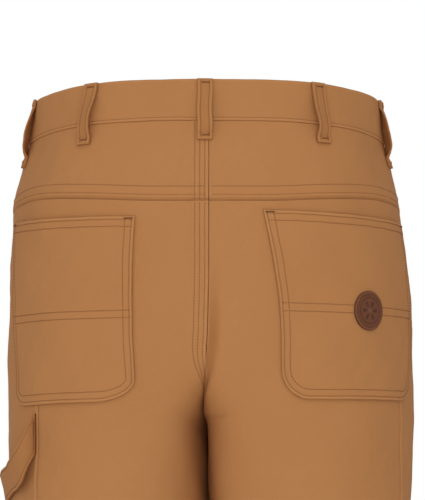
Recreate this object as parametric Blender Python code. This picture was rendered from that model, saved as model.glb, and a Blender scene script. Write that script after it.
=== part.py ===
"""Carpenter trousers, filled out as if worn, with nobody inside. Metres, with +Z up.

The front faces -Y, the back +Y and the wearer's left +X. The origin is the centre of the waist, at half
the height of the waistband, where a wearer holds the garment up.

One surface carries everything. A section of half a garment is a curve from the centre back, round the
side, to the centre front. It is a broad waist at the top, and it becomes a closed tube below the crotch.
A place on the surface is a level and a girth, which is the way along the section from the centre back.
Each piece is a wall between two offsets of that surface, with a narrow gap to its neighbours at each seam.
"""

import math
from collections import namedtuple
from functools import lru_cache

import bmesh
import bpy
import numpy as np
from mathutils import Vector

LEFT, RIGHT = 1, -1
SIDE_NAMES = {LEFT: "left", RIGHT: "right"}

# Levels are heights at the side of the garment. The waist is tilted, higher at the back.
WAIST_TOP = 0.020
WAIST_BOTTOM = -0.020
YOKE_LEVEL = -0.085
SPLIT_LEVEL = -0.212
CROTCH_LEVEL = -0.285
LEG_START_LEVEL = -0.190
LEG_FORMED_LEVEL = -0.460
SPLIT_SHARPNESS = 16
FORK_GIRTH = 0.266
HEM_LEVEL = -1.095
WAIST_TILT = 0.11

CLOTH = 0.0015
BAND_CLOTH = 0.0025
HEM_CLOTH = 0.0028
HEM_HEIGHT = 0.020
SEAM_GAP = 0.0003
LAID_ON = 0.0005
POCKET_LAID_ON = 0.0008

SECTION_SAMPLES = 721
SLOPE_STEP = 0.002

# Half of the garment: its reach from the centre plane and its depth forward and backward of the side.
Section = namedtuple("Section", "level inner outer front back")
SECTIONS = (
    Section(0.0200, 0.0000, 0.1664, 0.112, 0.115),
    Section(-0.0172, 0.0000, 0.1699, 0.117, 0.119),
    Section(-0.0430, 0.0000, 0.1765, 0.121, 0.123),
    Section(-0.0706, 0.0000, 0.1827, 0.124, 0.127),
    Section(-0.1088, 0.0000, 0.1870, 0.127, 0.131),
    Section(-0.1470, 0.0000, 0.1903, 0.128, 0.134),
    Section(-0.2040, 0.00012, 0.1930, 0.127, 0.136),
    Section(-0.2420, 0.00020, 0.1932, 0.124, 0.134),
    Section(-0.2850, 0.00030, 0.1930, 0.119, 0.129),
    Section(-0.3300, 0.0004, 0.1920, 0.114, 0.121),
    Section(-0.3600, 0.0007, 0.1908, 0.111, 0.116),
    Section(-0.4500, 0.0080, 0.1880, 0.104, 0.106),
    Section(-0.5500, 0.0180, 0.1860, 0.096, 0.095),
    Section(-0.6500, 0.0260, 0.1840, 0.090, 0.087),
    Section(-0.7500, 0.0310, 0.1840, 0.085, 0.081),
    Section(-0.9000, 0.0360, 0.1860, 0.079, 0.080),
    Section(-1.0000, 0.0380, 0.1880, 0.075, 0.080),
    Section(-1.0950, 0.0400, 0.1900, 0.072, 0.080),
)
SIDE_FULLNESS = 3.0
DEPTH_FULLNESS = 1.7
LEG_FULLNESS = 2.2

# Worn unevenly: how far the middle, and the two sides, are drawn toward the wearer's left. The slant turns
# the parting between the legs, so that it runs to the wearer's right on its way to the front.
Drift = namedtuple("Drift", "level middle sides slant")
DRIFTS = (
    Drift(0.0200, 0.0000, 0.0005, 0.000),
    Drift(-0.0600, 0.0000, 0.0020, 0.000),
    Drift(-0.1300, 0.0000, 0.0000, 0.000),
    Drift(-0.2000, 0.0010, -0.0020, 0.000),
    Drift(-0.2400, 0.0040, -0.0020, 0.030),
    Drift(-0.2850, 0.0095, -0.0020, 0.072),
    Drift(-0.3300, 0.0095, -0.0020, 0.085),
    Drift(-0.4000, 0.0055, -0.0015, 0.085),
    Drift(-0.5500, 0.0000, 0.0000, 0.000),
    Drift(-1.0950, 0.0000, 0.0000, 0.000),
)

# Soft folds: on which leg, at which level and girth, how tall and wide, how far they lean, and how deep.
Fold = namedtuple("Fold", "side level girth height width lean depth")
FOLDS = (
    Fold(LEFT, -0.345, 0.060, 0.050, 0.030, 0.30, -0.0012),
    Fold(RIGHT, -0.350, 0.055, 0.055, 0.032, 0.35, -0.0014),
    Fold(LEFT, -0.235, 0.455, 0.055, 0.022, -0.45, -0.0030),
    Fold(RIGHT, -0.225, 0.460, 0.060, 0.024, -0.50, -0.0035),
    Fold(LEFT, -0.640, 0.120, 0.020, 0.085, 0.00, -0.0045),
    Fold(LEFT, -0.700, 0.150, 0.018, 0.070, 0.00, -0.0035),
    Fold(RIGHT, -0.655, 0.130, 0.022, 0.080, 0.00, -0.0050),
    Fold(RIGHT, -0.725, 0.110, 0.016, 0.065, 0.00, -0.0030),
    Fold(LEFT, -0.985, 0.110, 0.018, 0.090, 0.00, -0.0040),
    Fold(LEFT, -1.020, 0.340, 0.016, 0.080, 0.00, -0.0045),
    Fold(RIGHT, -0.970, 0.330, 0.020, 0.085, 0.00, -0.0045),
    Fold(RIGHT, -1.025, 0.130, 0.015, 0.075, 0.00, -0.0035),
)

# How far behind the garment's widest line the outer leg seam runs, on each leg.
SeamRun = namedtuple("SeamRun", "level left right")
OUTSEAM = (
    SeamRun(0.020, -0.006, -0.006),
    SeamRun(-0.100, -0.006, -0.006),
    SeamRun(-0.150, 0.012, 0.006),
    SeamRun(-0.200, 0.052, 0.034),
    SeamRun(-0.240, 0.084, 0.053),
    SeamRun(-0.275, 0.094, 0.059),
    SeamRun(-0.350, 0.091, 0.059),
    SeamRun(-0.500, 0.064, 0.050),
    SeamRun(-0.700, 0.040, 0.036),
    SeamRun(-1.095, 0.020, 0.020),
)

# The yoke seam rises over the seat, between the centre back and the side.
YokeRise = namedtuple("YokeRise", "share rise")
YOKE_RISE = (
    YokeRise(0.00, 0.0024),
    YokeRise(0.20, 0.0025),
    YokeRise(0.45, 0.0055),
    YokeRise(0.68, 0.0080),
    YokeRise(0.86, 0.0060),
    YokeRise(1.00, 0.0000),
)
YOKE_LAP = 0.0010
YOKE_ROWS = 4
SEAT_ROWS = 8
SEAT_COLUMNS = 20
FRONT_COLUMNS = 14
UPPER_LEVELS = (-0.097, -0.109, -0.118, -0.125, -0.145, -0.168, -0.190, SPLIT_LEVEL)
LEG_LEVELS = (
    -0.300, -0.320, -0.350, -0.390, -0.440, -0.500, -0.560, -0.610, -0.650, -0.685, -0.730, -0.810,
    -0.900, -0.965, -1.000, -1.035,
)

SCOOP_WIDTH = 0.058
SCOOP_BOTTOM = -0.125
SCOOP_UNDERLAP = 0.014
FACING_BOTTOM = -0.132
FACING_DEPTH = -0.0026
FACING_COLUMNS = 6

FLY_WIDTH = 0.038
FLY_OVER = 0.006
FLY_BOTTOM = -0.180
FLY_CURVE = 0.030
FLY_CURVE_SHARES = (0.25, 0.55, 0.8)
FLY_TIP = 0.010
FLY_CLOTH = 0.0013

BAND_PROUD = 0.0010
BAND_OVERLAP_END = -0.0105
BAND_UNDERLAP_END = 0.030
BAND_STEP_START = 0.036
BAND_STEP_END = 0.014
BAND_COLUMNS = 16
# How far before the centre front the columns stand where the band laps over itself.
BAND_RIGHT_END = (0.055, BAND_STEP_START, 0.028, 0.021, BAND_STEP_END, 0.007, 0.0, -0.010, -0.020)
BAND_LEFT_END = (0.040, 0.030, 0.020, 0.010, 0.0)

BUTTON_RADIUS = 0.0085
BUTTON_THICKNESS = 0.0030
BUTTON_ROUNDING = 0.0006
BUTTON_INSET = 0.004

# A belt loop from top to bottom: its level, how far its inner face stands off, and its thickness.
LoopRow = namedtuple("LoopRow", "level stand thickness")
LOOP_ROWS = (
    LoopRow(0.0195, 0.0014, 0.0030),
    LoopRow(0.0135, 0.0014, 0.0030),
    LoopRow(0.0085, 0.0036, 0.0022),
    LoopRow(0.0020, 0.0060, 0.0018),
    LoopRow(-0.0070, 0.0082, 0.0018),
    LoopRow(-0.0160, 0.0094, 0.0018),
    LoopRow(-0.0240, 0.0088, 0.0018),
    LoopRow(-0.0305, 0.0052, 0.0022),
    LoopRow(-0.0355, 0.0005, 0.0030),
    LoopRow(-0.0425, 0.0005, 0.0030),
)
LOOP_WIDTH = 0.0145
LOOP_SEWN = 0.002
# Each loop's name, its side, its girth at the waist, how far it leans outward on its way down, the level
# of its foot, and how much of the full stand it has.
Loop = namedtuple("Loop", "name side girth lean foot stand")
LOOPS = (
    Loop("belt_loop_back_centre", LEFT, 0.0036, 0.000, -0.0362, 0.85),
    Loop("belt_loop_back_left", LEFT, 0.1135, 0.002, -0.0368, 0.92),
    Loop("belt_loop_back_right", RIGHT, 0.1045, 0.002, -0.0360, 0.92),
    Loop("belt_loop_side_left", LEFT, 0.2080, 0.003, -0.0425, 1.00),
    Loop("belt_loop_side_right", RIGHT, 0.2080, 0.003, -0.0425, 1.00),
    Loop("belt_loop_front_left", LEFT, 0.3470, -0.004, -0.0365, 0.92),
    Loop("belt_loop_front_right", RIGHT, 0.3470, -0.004, -0.0365, 0.92),
)

# A patch pocket by its corners, each a distance behind the side line and a level, with the droop of its
# lower edge, the radius of its lower corners and the height of its rows.
Pocket = namedtuple("Pocket", "name side top_inner top_outer bottom_inner bottom_outer sag radius row")
POCKETS = (
    Pocket(
        "back_pocket_left", LEFT, (0.188, -0.097), (0.024, -0.095), (0.199, -0.263), (0.056, -0.271),
        sag=0.004, radius=0.018, row=0.016,
    ),
    Pocket(
        "back_pocket_right", RIGHT, (0.203, -0.091), (0.018, -0.096), (0.199, -0.267), (0.042, -0.265),
        sag=0.003, radius=0.026, row=0.016,
    ),
    Pocket(
        "tool_pocket", RIGHT, (0.132, -0.425), (0.050, -0.425), (0.118, -0.620), (0.036, -0.620),
        sag=0.000, radius=0.006, row=0.028,
    ),
)
POCKET_COLUMN = 0.0105
ARC_STEPS = 4

PATCH_CENTRE = (0.107, -0.183)
PATCH_RADIUS = 0.0185
PATCH_CLOTH = 0.0014
PATCH_CELLS = 7

# The hammer loop from the outer seam at the back to its front end. Each edge has its distance forward of
# the seam, its level, and how far its inner face stands off.
HammerRow = namedtuple("HammerRow", "high_forward high_level high_stand low_forward low_level low_stand")
HAMMER_ROWS = (
    HammerRow(0.0015, -0.2785, 0.0010, 0.0015, -0.3165, 0.0010),
    HammerRow(0.0020, -0.2825, 0.0035, 0.0020, -0.3200, 0.0030),
    HammerRow(0.0036, -0.2885, 0.0070, 0.0034, -0.3260, 0.0058),
    HammerRow(0.0072, -0.2990, 0.0105, 0.0062, -0.3360, 0.0080),
    HammerRow(0.0150, -0.3110, 0.0125, 0.0115, -0.3435, 0.0085),
    HammerRow(0.0280, -0.3210, 0.0120, 0.0210, -0.3475, 0.0070),
    HammerRow(0.0450, -0.3270, 0.0090, 0.0360, -0.3510, 0.0040),
    HammerRow(0.0680, -0.3310, 0.0066, 0.0560, -0.3555, 0.0018),
    HammerRow(0.0940, -0.3340, 0.0056, 0.0820, -0.3610, 0.0010),
    HammerRow(0.1160, -0.3360, 0.0035, 0.1060, -0.3670, 0.0010),
    HammerRow(0.1320, -0.3370, 0.0010, 0.1240, -0.3715, 0.0010),
    HammerRow(0.1430, -0.3375, 0.0010, 0.1360, -0.3745, 0.0010),
)
HAMMER_CLOTH = 0.0024
HAMMER_STEPS = 2
HAMMER_COLUMNS = 4

DUCK = (0.47, 0.21, 0.075)
DUCK_LIGHT = (0.50, 0.23, 0.085)
DUCK_DARK = (0.40, 0.17, 0.060)
LEATHER = (0.12, 0.035, 0.018)
BRONZE = (0.30, 0.19, 0.10)


def clear_scene():
    """Remove what the new file starts with."""
    for old in list(bpy.data.objects):
        bpy.data.objects.remove(old, do_unlink=True)


def smooth_between(table, column, at):
    """Read a column of a table at a level or share, on a cubic through its rows without overshoot."""
    rows = sorted(table)
    keys = np.array([row[0] for row in rows])
    values = np.array([getattr(row, column) for row in rows])
    steps = np.diff(keys)
    slopes = np.diff(values) / steps
    tangents = np.zeros_like(values)
    same_way = slopes[:-1] * slopes[1:] > 0
    harmonic = 2 * slopes[:-1] * slopes[1:] / np.where(same_way, slopes[:-1] + slopes[1:], 1.0)
    tangents[1:-1] = np.where(same_way, harmonic, 0.0)
    tangents[0] = slopes[0]
    tangents[-1] = slopes[-1]
    at = min(max(at, keys[0]), keys[-1])
    cell = min(int(np.searchsorted(keys, at, side="right")) - 1, len(steps) - 1)
    step = steps[cell]
    t = (at - keys[cell]) / step
    start = (2 * t ** 3 - 3 * t ** 2 + 1) * values[cell] + (t ** 3 - 2 * t ** 2 + t) * step * tangents[cell]
    end = (3 * t ** 2 - 2 * t ** 3) * values[cell + 1] + (t ** 3 - t ** 2) * step * tangents[cell + 1]
    return float(start + end)


def ramp(start, end, at):
    """Go smoothly from 0 at start to 1 at end."""
    t = np.clip((at - start) / (end - start), 0.0, 1.0)
    return t * t * (3 - 2 * t)


def leg_share(level):
    """Say how far the seam has turned under: 0 above the split, 1 at the crotch, on a quarter ellipse."""
    s = min(max((SPLIT_LEVEL - level) / (SPLIT_LEVEL - CROTCH_LEVEL), 0.0), 1.0)
    return 1 - math.sqrt(1 - s * s)


def power(values, exponent):
    """Raise the size of each value to a power and keep its sign."""
    return np.sign(values) * np.abs(values) ** exponent


@lru_cache(maxsize=None)
def section(side, level):
    """Trace half a section: its points from the centre back to the centre front, and their girths."""
    columns = ("inner", "outer", "front", "back")
    inner, outer, front, back = (smooth_between(SECTIONS, column, level) for column in columns)
    turn = np.linspace(math.pi, -math.pi, SECTION_SAMPLES)
    across = power(np.cos(turn), 2 / LEG_FULLNESS)
    x = inner + (outer - inner) * (1 + across) / 2
    depth = np.where(turn > 0, back, -front)
    # The cloth turns into the crotch steeply at the seam, and slowly away from it.
    at_seam = leg_share(level)
    away = float(ramp(LEG_START_LEVEL, LEG_FORMED_LEVEL, level))
    share = away + (at_seam - away) * ((1 - np.cos(turn)) / 2) ** SPLIT_SHARPNESS
    torso = (1 - np.clip(x / outer, 0, 1) ** SIDE_FULLNESS) ** (1 / DEPTH_FULLNESS)
    leg = np.abs(np.sin(turn)) ** (2 / LEG_FULLNESS)
    y = depth * (torso * (1 - share) + leg * share)

    # The folds push the curve in or out along its own normal. Below the fork their girths leave out the cloth
    # that turns in between the legs.
    girth = np.concatenate([[0.0], np.cumsum(np.hypot(np.diff(x), np.diff(y)))])
    turned_in = girth[SECTION_SAMPLES // 2] - FORK_GIRTH
    girth -= turned_in * float(ramp(LEG_START_LEVEL, SPLIT_LEVEL, level))
    push = np.zeros_like(x)
    for fold in FOLDS:
        if fold.side == side:
            rise = (level - fold.level) / fold.height
            run = (girth - fold.girth - fold.lean * (level - fold.level)) / fold.width
            push += fold.depth * np.exp(-rise ** 2 - run ** 2)
    along_x, along_y = np.gradient(x), np.gradient(y)
    length = np.maximum(np.hypot(along_x, along_y), 1e-9)
    x = np.maximum(x - push * along_y / length, inner)
    y = y + push * along_x / length

    middle = smooth_between(DRIFTS, "middle", level)
    sides = smooth_between(DRIFTS, "sides", level)
    slant = smooth_between(DRIFTS, "slant", level)
    spread = np.clip(x / outer, 0, 1) ** 2
    x = side * x + (middle + slant * (y - back)) * (1 - spread) + sides * spread
    z = level + WAIST_TILT * ramp(YOKE_LEVEL, WAIST_BOTTOM, level) * y
    points = np.stack([x, y, z], axis=1)
    girth = np.concatenate([[0.0], np.cumsum(np.linalg.norm(np.diff(points, axis=0), axis=1))])
    return points, girth


def half_girth(side, level):
    """Measure the whole way from the centre back to the centre front."""
    return float(section(side, level)[1][-1])


def side_line(side, level):
    """Find the girth of the garment's widest line at a level."""
    girth = section(side, level)[1]
    return float(girth[SECTION_SAMPLES // 2])


def outseam(side, level):
    """Find the girth of the outer leg seam at a level."""
    return side_line(side, level) - smooth_between(OUTSEAM, SIDE_NAMES[side], level)


def place(side, level, girth):
    """Find the point of the surface at a level and girth. A girth below 0 is on the other half."""
    if girth < 0:
        side, girth = -side, -girth
    points, girths = section(side, level)
    return np.array([np.interp(girth, girths, points[:, axis]) for axis in range(3)])


def outward(side, level, girth):
    """Find the surface's outward direction, square to the ways along the girth and up the level."""
    total = half_girth(side, level)
    ahead = min(girth + SLOPE_STEP, total)
    astern = max(girth - SLOPE_STEP, -SLOPE_STEP if level > SPLIT_LEVEL else 0.0)
    round_way = place(side, level, ahead) - place(side, level, astern)
    up_way = place(side, level + SLOPE_STEP, girth) - place(side, level - SLOPE_STEP, girth)
    normal = side * np.cross(up_way, round_way)
    return normal / np.linalg.norm(normal)


def off(side, level, girth, distance):
    """Find the point that stands a distance off the surface."""
    return place(side, level, girth) + outward(side, level, girth) * distance


def material(name, color, roughness, metallic=0.0):
    """Make a plain finish."""
    made = bpy.data.materials.new(name)
    made.use_nodes = True
    shader = made.node_tree.nodes["Principled BSDF"]
    shader.inputs["Base Color"].default_value = (*color, 1.0)
    shader.inputs["Roughness"].default_value = roughness
    shader.inputs["Metallic"].default_value = metallic
    return made


def finish(name, bm, color, roughness=0.9, metallic=0.0):
    """Turn a mesh under construction into a named object of the garment."""
    bmesh.ops.recalc_face_normals(bm, faces=bm.faces[:])
    if bm.calc_volume(signed=True) < 0:
        bmesh.ops.reverse_faces(bm, faces=bm.faces[:])
    mesh = bpy.data.meshes.new(name)
    bm.to_mesh(mesh)
    bm.free()
    mesh.shade_smooth()
    mesh.set_sharp_from_angle(angle=math.radians(40))
    mesh.materials.append(material(name, color, roughness, metallic))
    made = bpy.data.objects.new(name, mesh)
    bpy.data.collections["carpenter_pants"].objects.link(made)
    return made


def wall(name, outer, inner, color, roughness=0.9):
    """Make a closed wall between two grids of points, by extruding a flat grid and moving its points.

    outer and inner are lists of rows of points, of one size.
    """
    rows, columns = len(outer), len(outer[0])
    bm = bmesh.new()
    bmesh.ops.create_grid(bm, x_segments=columns - 1, y_segments=rows - 1, size=0.5)
    cells = {}
    for vert in bm.verts:
        column = round((vert.co.x + 0.5) * (columns - 1))
        row = round((vert.co.y + 0.5) * (rows - 1))
        cells[vert] = (row, column)
    spots = {tuple(vert.co): cell for vert, cell in cells.items()}
    grown = bmesh.ops.extrude_face_region(bm, geom=bm.faces[:])["geom"]
    for vert in grown:
        if isinstance(vert, bmesh.types.BMVert):
            row, column = spots[tuple(vert.co)]
            vert.co = inner[row][column]
    for vert, (row, column) in cells.items():
        vert.co = outer[row][column]
    return finish(name, bm, color, roughness)


def panel(name, side, levels, low_girth, high_girth, columns, color, lap=0.0):
    """Make a panel of cloth between two seams.

    levels is a function of the row's number and the share across. low_girth and high_girth are functions
    of a level. lap lifts the last row, where the panel's edge lies over the next one.
    """
    rows = levels.rows
    outer, inner = [], []
    for row in range(rows):
        outer_row, inner_row = [], []
        for share in np.linspace(0, 1, columns):
            level = levels(row, share)
            low = low_girth(level) + SEAM_GAP / 2
            high = high_girth(level) - SEAM_GAP / 2
            girth = low + (high - low) * share
            thickness = HEM_CLOTH if level < HEM_LEVEL + HEM_HEIGHT else CLOTH
            lift = lap if row == rows - 1 else 0.0
            outer_row.append(off(side, level, girth, lift))
            inner_row.append(off(side, level, girth, lift - thickness))
        outer.append(outer_row)
        inner.append(inner_row)
    return wall(name, outer, inner, color)


class Levels:
    """The levels of a panel's rows, with a top or bottom row that may follow a curved seam."""

    def __init__(self, levels, top_rise=None, bottom_rise=None, blend=1):
        self.levels = list(levels)
        self.rows = len(self.levels)
        self.top_rise = top_rise
        self.bottom_rise = bottom_rise
        self.blend = blend

    def __call__(self, row, share):
        level = self.levels[row]
        if self.top_rise and row < self.blend:
            level += self.top_rise(share) * (1 - row / self.blend)
        if self.bottom_rise and row > self.rows - 1 - self.blend:
            level += self.bottom_rise(share) * (1 - (self.rows - 1 - row) / self.blend)
        return level


def yoke_rise(share):
    """Say how far the yoke seam rises at a share of the way from the centre back to the side."""
    return smooth_between(YOKE_RISE, "rise", share)


def seat_levels():
    """List the levels from the yoke seam to the hem, closer together where the crotch seam turns."""
    turning = [
        SPLIT_LEVEL - (SPLIT_LEVEL - CROTCH_LEVEL) * math.sin(math.pi / 2 * step / SEAT_ROWS)
        for step in range(1, SEAT_ROWS + 1)
    ]
    hem = [HEM_LEVEL + HEM_HEIGHT + 0.0005, HEM_LEVEL + HEM_HEIGHT - 0.0005, HEM_LEVEL]
    return list(UPPER_LEVELS) + turning + list(LEG_LEVELS) + hem


def yoke_levels():
    """List the levels from the waistband's seam to the yoke seam."""
    return list(np.linspace(WAIST_BOTTOM - SEAM_GAP / 2, YOKE_LEVEL + SEAM_GAP / 2, YOKE_ROWS))


def start_of_back(level):
    """Begin at the centre back or the inner leg seam."""
    return 0.0


def scoop(side, level):
    """Find the girth of the front panel's outer edge: the outer seam, or the pocket's scooped mouth."""
    seam = outseam(side, level)
    if level <= SCOOP_BOTTOM:
        return seam
    down = (WAIST_BOTTOM - level) / (WAIST_BOTTOM - SCOOP_BOTTOM)
    return seam + SCOOP_WIDTH * math.sqrt(1 - min(max(down, 0.0), 1.0) ** 2)


def add_halves():
    """Make the yoke, the back, the front and the front pocket's facing of each half."""
    for side, word in SIDE_NAMES.items():
        seam = lambda level, side=side: outseam(side, level)
        mouth = lambda level, side=side: scoop(side, level)
        middle = lambda level, side=side: half_girth(side, level)
        yoke = Levels(yoke_levels(), bottom_rise=yoke_rise)
        panel(f"yoke_{word}", side, yoke, start_of_back, seam, SEAT_COLUMNS, DUCK_LIGHT, YOKE_LAP)
        back = Levels([YOKE_LEVEL - SEAM_GAP / 2] + seat_levels(), top_rise=yoke_rise)
        panel(f"back_{word}", side, back, start_of_back, seam, SEAT_COLUMNS, DUCK)
        front = Levels(yoke_levels() + seat_levels())
        panel(f"front_{word}", side, front, mouth, middle, FRONT_COLUMNS, DUCK)
        add_facing(side, word)


def add_facing(side, word):
    """Make the pocket facing that shows inside the scooped mouth, tucked under the front panel."""
    levels = yoke_levels() + [level for level in UPPER_LEVELS if level >= SCOOP_BOTTOM] + [FACING_BOTTOM]
    outer, inner = [], []
    for level in levels:
        low = outseam(side, level) + SEAM_GAP / 2
        high = scoop(side, level) + SCOOP_UNDERLAP
        girths = np.linspace(low, high, FACING_COLUMNS)
        outer.append([off(side, level, girth, FACING_DEPTH) for girth in girths])
        inner.append([off(side, level, girth, FACING_DEPTH - CLOTH) for girth in girths])
    wall(f"pocket_facing_{word}", outer, inner, DUCK_DARK)


def add_waistband():
    """Make the waistband: one strip from its underlap at the front, round the back, to its overlap."""
    levels = (WAIST_TOP, 0.0, WAIST_BOTTOM + SEAM_GAP / 2)
    half = half_girth(LEFT, 0.0)
    right_end = [half - before for before in BAND_RIGHT_END]
    left_end = [half - before for before in BAND_LEFT_END]
    stations = [(RIGHT, half + BAND_UNDERLAP_END)]
    stations += [(RIGHT, girth) for girth in reversed(right_end[1:])]
    stations += [(RIGHT, girth) for girth in np.linspace(right_end[0], 0.0, BAND_COLUMNS)]
    stations += [(LEFT, girth) for girth in np.linspace(0.0, left_end[0], BAND_COLUMNS)[1:]]
    stations += [(LEFT, girth) for girth in left_end[1:]]
    stations += [(LEFT, half - BAND_OVERLAP_END)]
    outer, inner = [], []
    for side, girth in stations:
        outer_column, inner_column = [], []
        for level in levels:
            spot, way = band_place(side, level, girth, half)
            proud = BAND_PROUD
            if side == RIGHT:
                tucked = ramp(half - BAND_STEP_START, half - BAND_STEP_END, girth)
                proud -= (BAND_CLOTH + SEAM_GAP) * tucked
            outer_column.append(spot + way * proud)
            inner_column.append(spot + way * (proud - BAND_CLOTH))
        outer.append(outer_column)
        inner.append(inner_column)
    wall("waistband", outer, inner, DUCK_LIGHT)


def band_place(side, level, girth, half):
    """Find a place on the band and its outward direction. Past the centre front it is on the other half."""
    total = half_girth(side, level)
    girth = girth * total / half
    if girth > total:
        side, girth = -side, 2 * total - girth
    return place(side, level, girth), outward(side, level, girth)


def add_fly():
    """Make the fly: the folded edge of the left front, which laps a little over the right front."""
    levels = [level for level in yoke_levels() + seat_levels() if level > FLY_BOTTOM + 0.001] + [FLY_BOTTOM]
    levels += [FLY_BOTTOM + FLY_CURVE * share for share in FLY_CURVE_SHARES]
    levels = sorted(set(levels), reverse=True)
    outer, inner = [], []
    for level in levels:
        rise = min((level - FLY_BOTTOM) / FLY_CURVE, 1.0)
        reach = FLY_TIP + (FLY_WIDTH - FLY_TIP) * math.sqrt(1 - (1 - rise) ** 2)
        outer_row, inner_row = [], []
        for x in (-FLY_OVER, 0.0, reach / 3, reach * 2 / 3, reach):
            side = LEFT if x >= 0 else RIGHT
            girth = half_girth(side, level) - abs(x)
            outer_row.append(off(side, level, girth, LAID_ON + FLY_CLOTH))
            inner_row.append(off(side, level, girth, LAID_ON))
        outer.append(outer_row)
        inner.append(inner_row)
    wall("fly", outer, inner, DUCK_LIGHT)


def add_button():
    """Make the waist button: a turned metal disc that lies on the band at the centre front."""
    half = half_girth(LEFT, 0.0)
    spot, way = band_place(LEFT, 0.0, half - BUTTON_INSET, half)
    bm = bmesh.new()
    bmesh.ops.create_cone(
        bm, cap_ends=True, segments=28, radius1=BUTTON_RADIUS, radius2=BUTTON_RADIUS, depth=BUTTON_THICKNESS
    )
    rims = [edge for edge in bm.edges if abs(edge.verts[0].co.z - edge.verts[1].co.z) < 1e-6]
    bmesh.ops.bevel(bm, geom=rims, offset=BUTTON_ROUNDING, segments=2, affect="EDGES", clamp_overlap=True)
    made = finish("waist_button", bm, BRONZE, 0.35, 0.9)
    lift = BAND_PROUD + LAID_ON + BUTTON_THICKNESS / 2
    made.location = spot + way * lift
    made.rotation_mode = "QUATERNION"
    made.rotation_quaternion = Vector(way).to_track_quat("Z", "Y")


def add_belt_loops():
    """Make the belt loops: straps sewn down at both ends, which stand off the band between them."""
    for loop in LOOPS:
        outer, inner = [], []
        shorter = (WAIST_BOTTOM - loop.foot) / (WAIST_BOTTOM - LOOP_ROWS[-1].level)
        for row in LOOP_ROWS:
            level = row.level
            if level < WAIST_BOTTOM:
                level = WAIST_BOTTOM - (WAIST_BOTTOM - level) * shorter
            down = (WAIST_TOP - level) / (WAIST_TOP - loop.foot)
            middle = loop.girth * half_girth(loop.side, level) / half_girth(loop.side, 0.0) + loop.lean * down
            way = outward(loop.side, level, middle)
            centre = place(loop.side, level, middle)
            ahead = place(loop.side, level, middle + SLOPE_STEP) - centre
            ahead -= way * float(ahead @ way)
            ahead *= LOOP_WIDTH / 2 / np.linalg.norm(ahead)
            stand = row.stand if row.stand < LOOP_SEWN else row.stand * loop.stand
            outer.append([centre + ahead * s + way * (stand + row.thickness) for s in (-1, 0, 1)])
            inner.append([centre + ahead * s + way * stand for s in (-1, 0, 1)])
        wall(loop.name, outer, inner, DUCK_LIGHT)


def add_pockets():
    """Make the patch pockets: walls laid on the panels, with rounded lower corners."""
    for pocket in POCKETS:
        corners = (pocket.top_inner, pocket.top_outer, pocket.bottom_inner, pocket.bottom_outer)
        top_inner, top_outer, bottom_inner, bottom_outer = (np.array(corner) for corner in corners)
        width = float(top_inner[0] - top_outer[0])
        height = float(top_inner[1] - bottom_inner[1])
        arc = [pocket.radius / width * (1 - math.cos(math.pi / 2 * s / ARC_STEPS)) for s in range(ARC_STEPS)]
        plain = max(2, round((width - 2 * pocket.radius) / POCKET_COLUMN))
        middle = list(np.linspace(pocket.radius / width, 1 - pocket.radius / width, plain + 1))
        shares = arc + middle + [1 - share for share in reversed(arc)]
        rows = round(height / pocket.row)
        outer, inner = [], []
        for row in range(rows + 1):
            outer_row, inner_row = [], []
            for share in shares:
                edge = min(share, 1 - share) * width
                short = pocket.radius - edge
                corner = pocket.radius - math.sqrt(max(pocket.radius ** 2 - max(short, 0.0) ** 2, 0.0))
                sag = pocket.sag * math.sin(math.pi * share)
                high = top_inner + (top_outer - top_inner) * share
                low = bottom_inner + (bottom_outer - bottom_inner) * share + np.array([0.0, corner - sag])
                behind, level = high + (low - high) * row / rows
                girth = side_line(pocket.side, level) - behind
                outer_row.append(off(pocket.side, level, girth, POCKET_LAID_ON + CLOTH))
                inner_row.append(off(pocket.side, level, girth, POCKET_LAID_ON))
            outer.append(outer_row)
            inner.append(inner_row)
        wall(pocket.name, outer, inner, DUCK_LIGHT)


def add_patch():
    """Make the round leather patch, which lies on the right back pocket.

    A square grid is rounded into a disc: each way across is shortened by the other.
    """
    behind, level = PATCH_CENTRE
    girth = side_line(RIGHT, level) - behind
    base = POCKET_LAID_ON + CLOTH + LAID_ON
    outer, inner = [], []
    for up in np.linspace(-1, 1, PATCH_CELLS):
        spots = []
        for across in np.linspace(-1, 1, PATCH_CELLS):
            spots.append((
                level + PATCH_RADIUS * up * math.sqrt(1 - across ** 2 / 2),
                girth + PATCH_RADIUS * across * math.sqrt(1 - up ** 2 / 2),
            ))
        outer.append([off(RIGHT, *spot, base + PATCH_CLOTH) for spot in spots])
        inner.append([off(RIGHT, *spot, base) for spot in spots])
    wall("leather_patch", outer, inner, LEATHER, 0.6)


def add_hammer_loop():
    """Make the hammer loop: a strap from the left outer seam, out and forward, to the front of the leg."""
    count = len(HAMMER_ROWS) - 1
    parts = ("forward", "level", "stand")
    keyed = namedtuple("Keyed", ("share",) + HammerRow._fields)
    table = [keyed(index / count, *row) for index, row in enumerate(HAMMER_ROWS)]
    outer, inner = [], []
    for share in np.linspace(0, 1, count * HAMMER_STEPS + 1):
        high = np.array([smooth_between(table, f"high_{part}", share) for part in parts])
        low = np.array([smooth_between(table, f"low_{part}", share) for part in parts])
        outer_row, inner_row = [], []
        for across in np.linspace(0, 1, HAMMER_COLUMNS):
            forward, level, stand = (float(value) for value in high + (low - high) * across)
            girth = outseam(LEFT, level) + forward
            outer_row.append(off(LEFT, level, girth, stand + HAMMER_CLOTH))
            inner_row.append(off(LEFT, level, girth, stand))
        outer.append(outer_row)
        inner.append(inner_row)
    wall("hammer_loop", outer, inner, DUCK_LIGHT)


def main():
    clear_scene()
    garment = bpy.data.collections.new("carpenter_pants")
    bpy.context.scene.collection.children.link(garment)
    add_halves()
    add_waistband()
    add_fly()
    add_button()
    add_belt_loops()
    add_pockets()
    add_patch()
    add_hammer_loop()


main()
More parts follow.
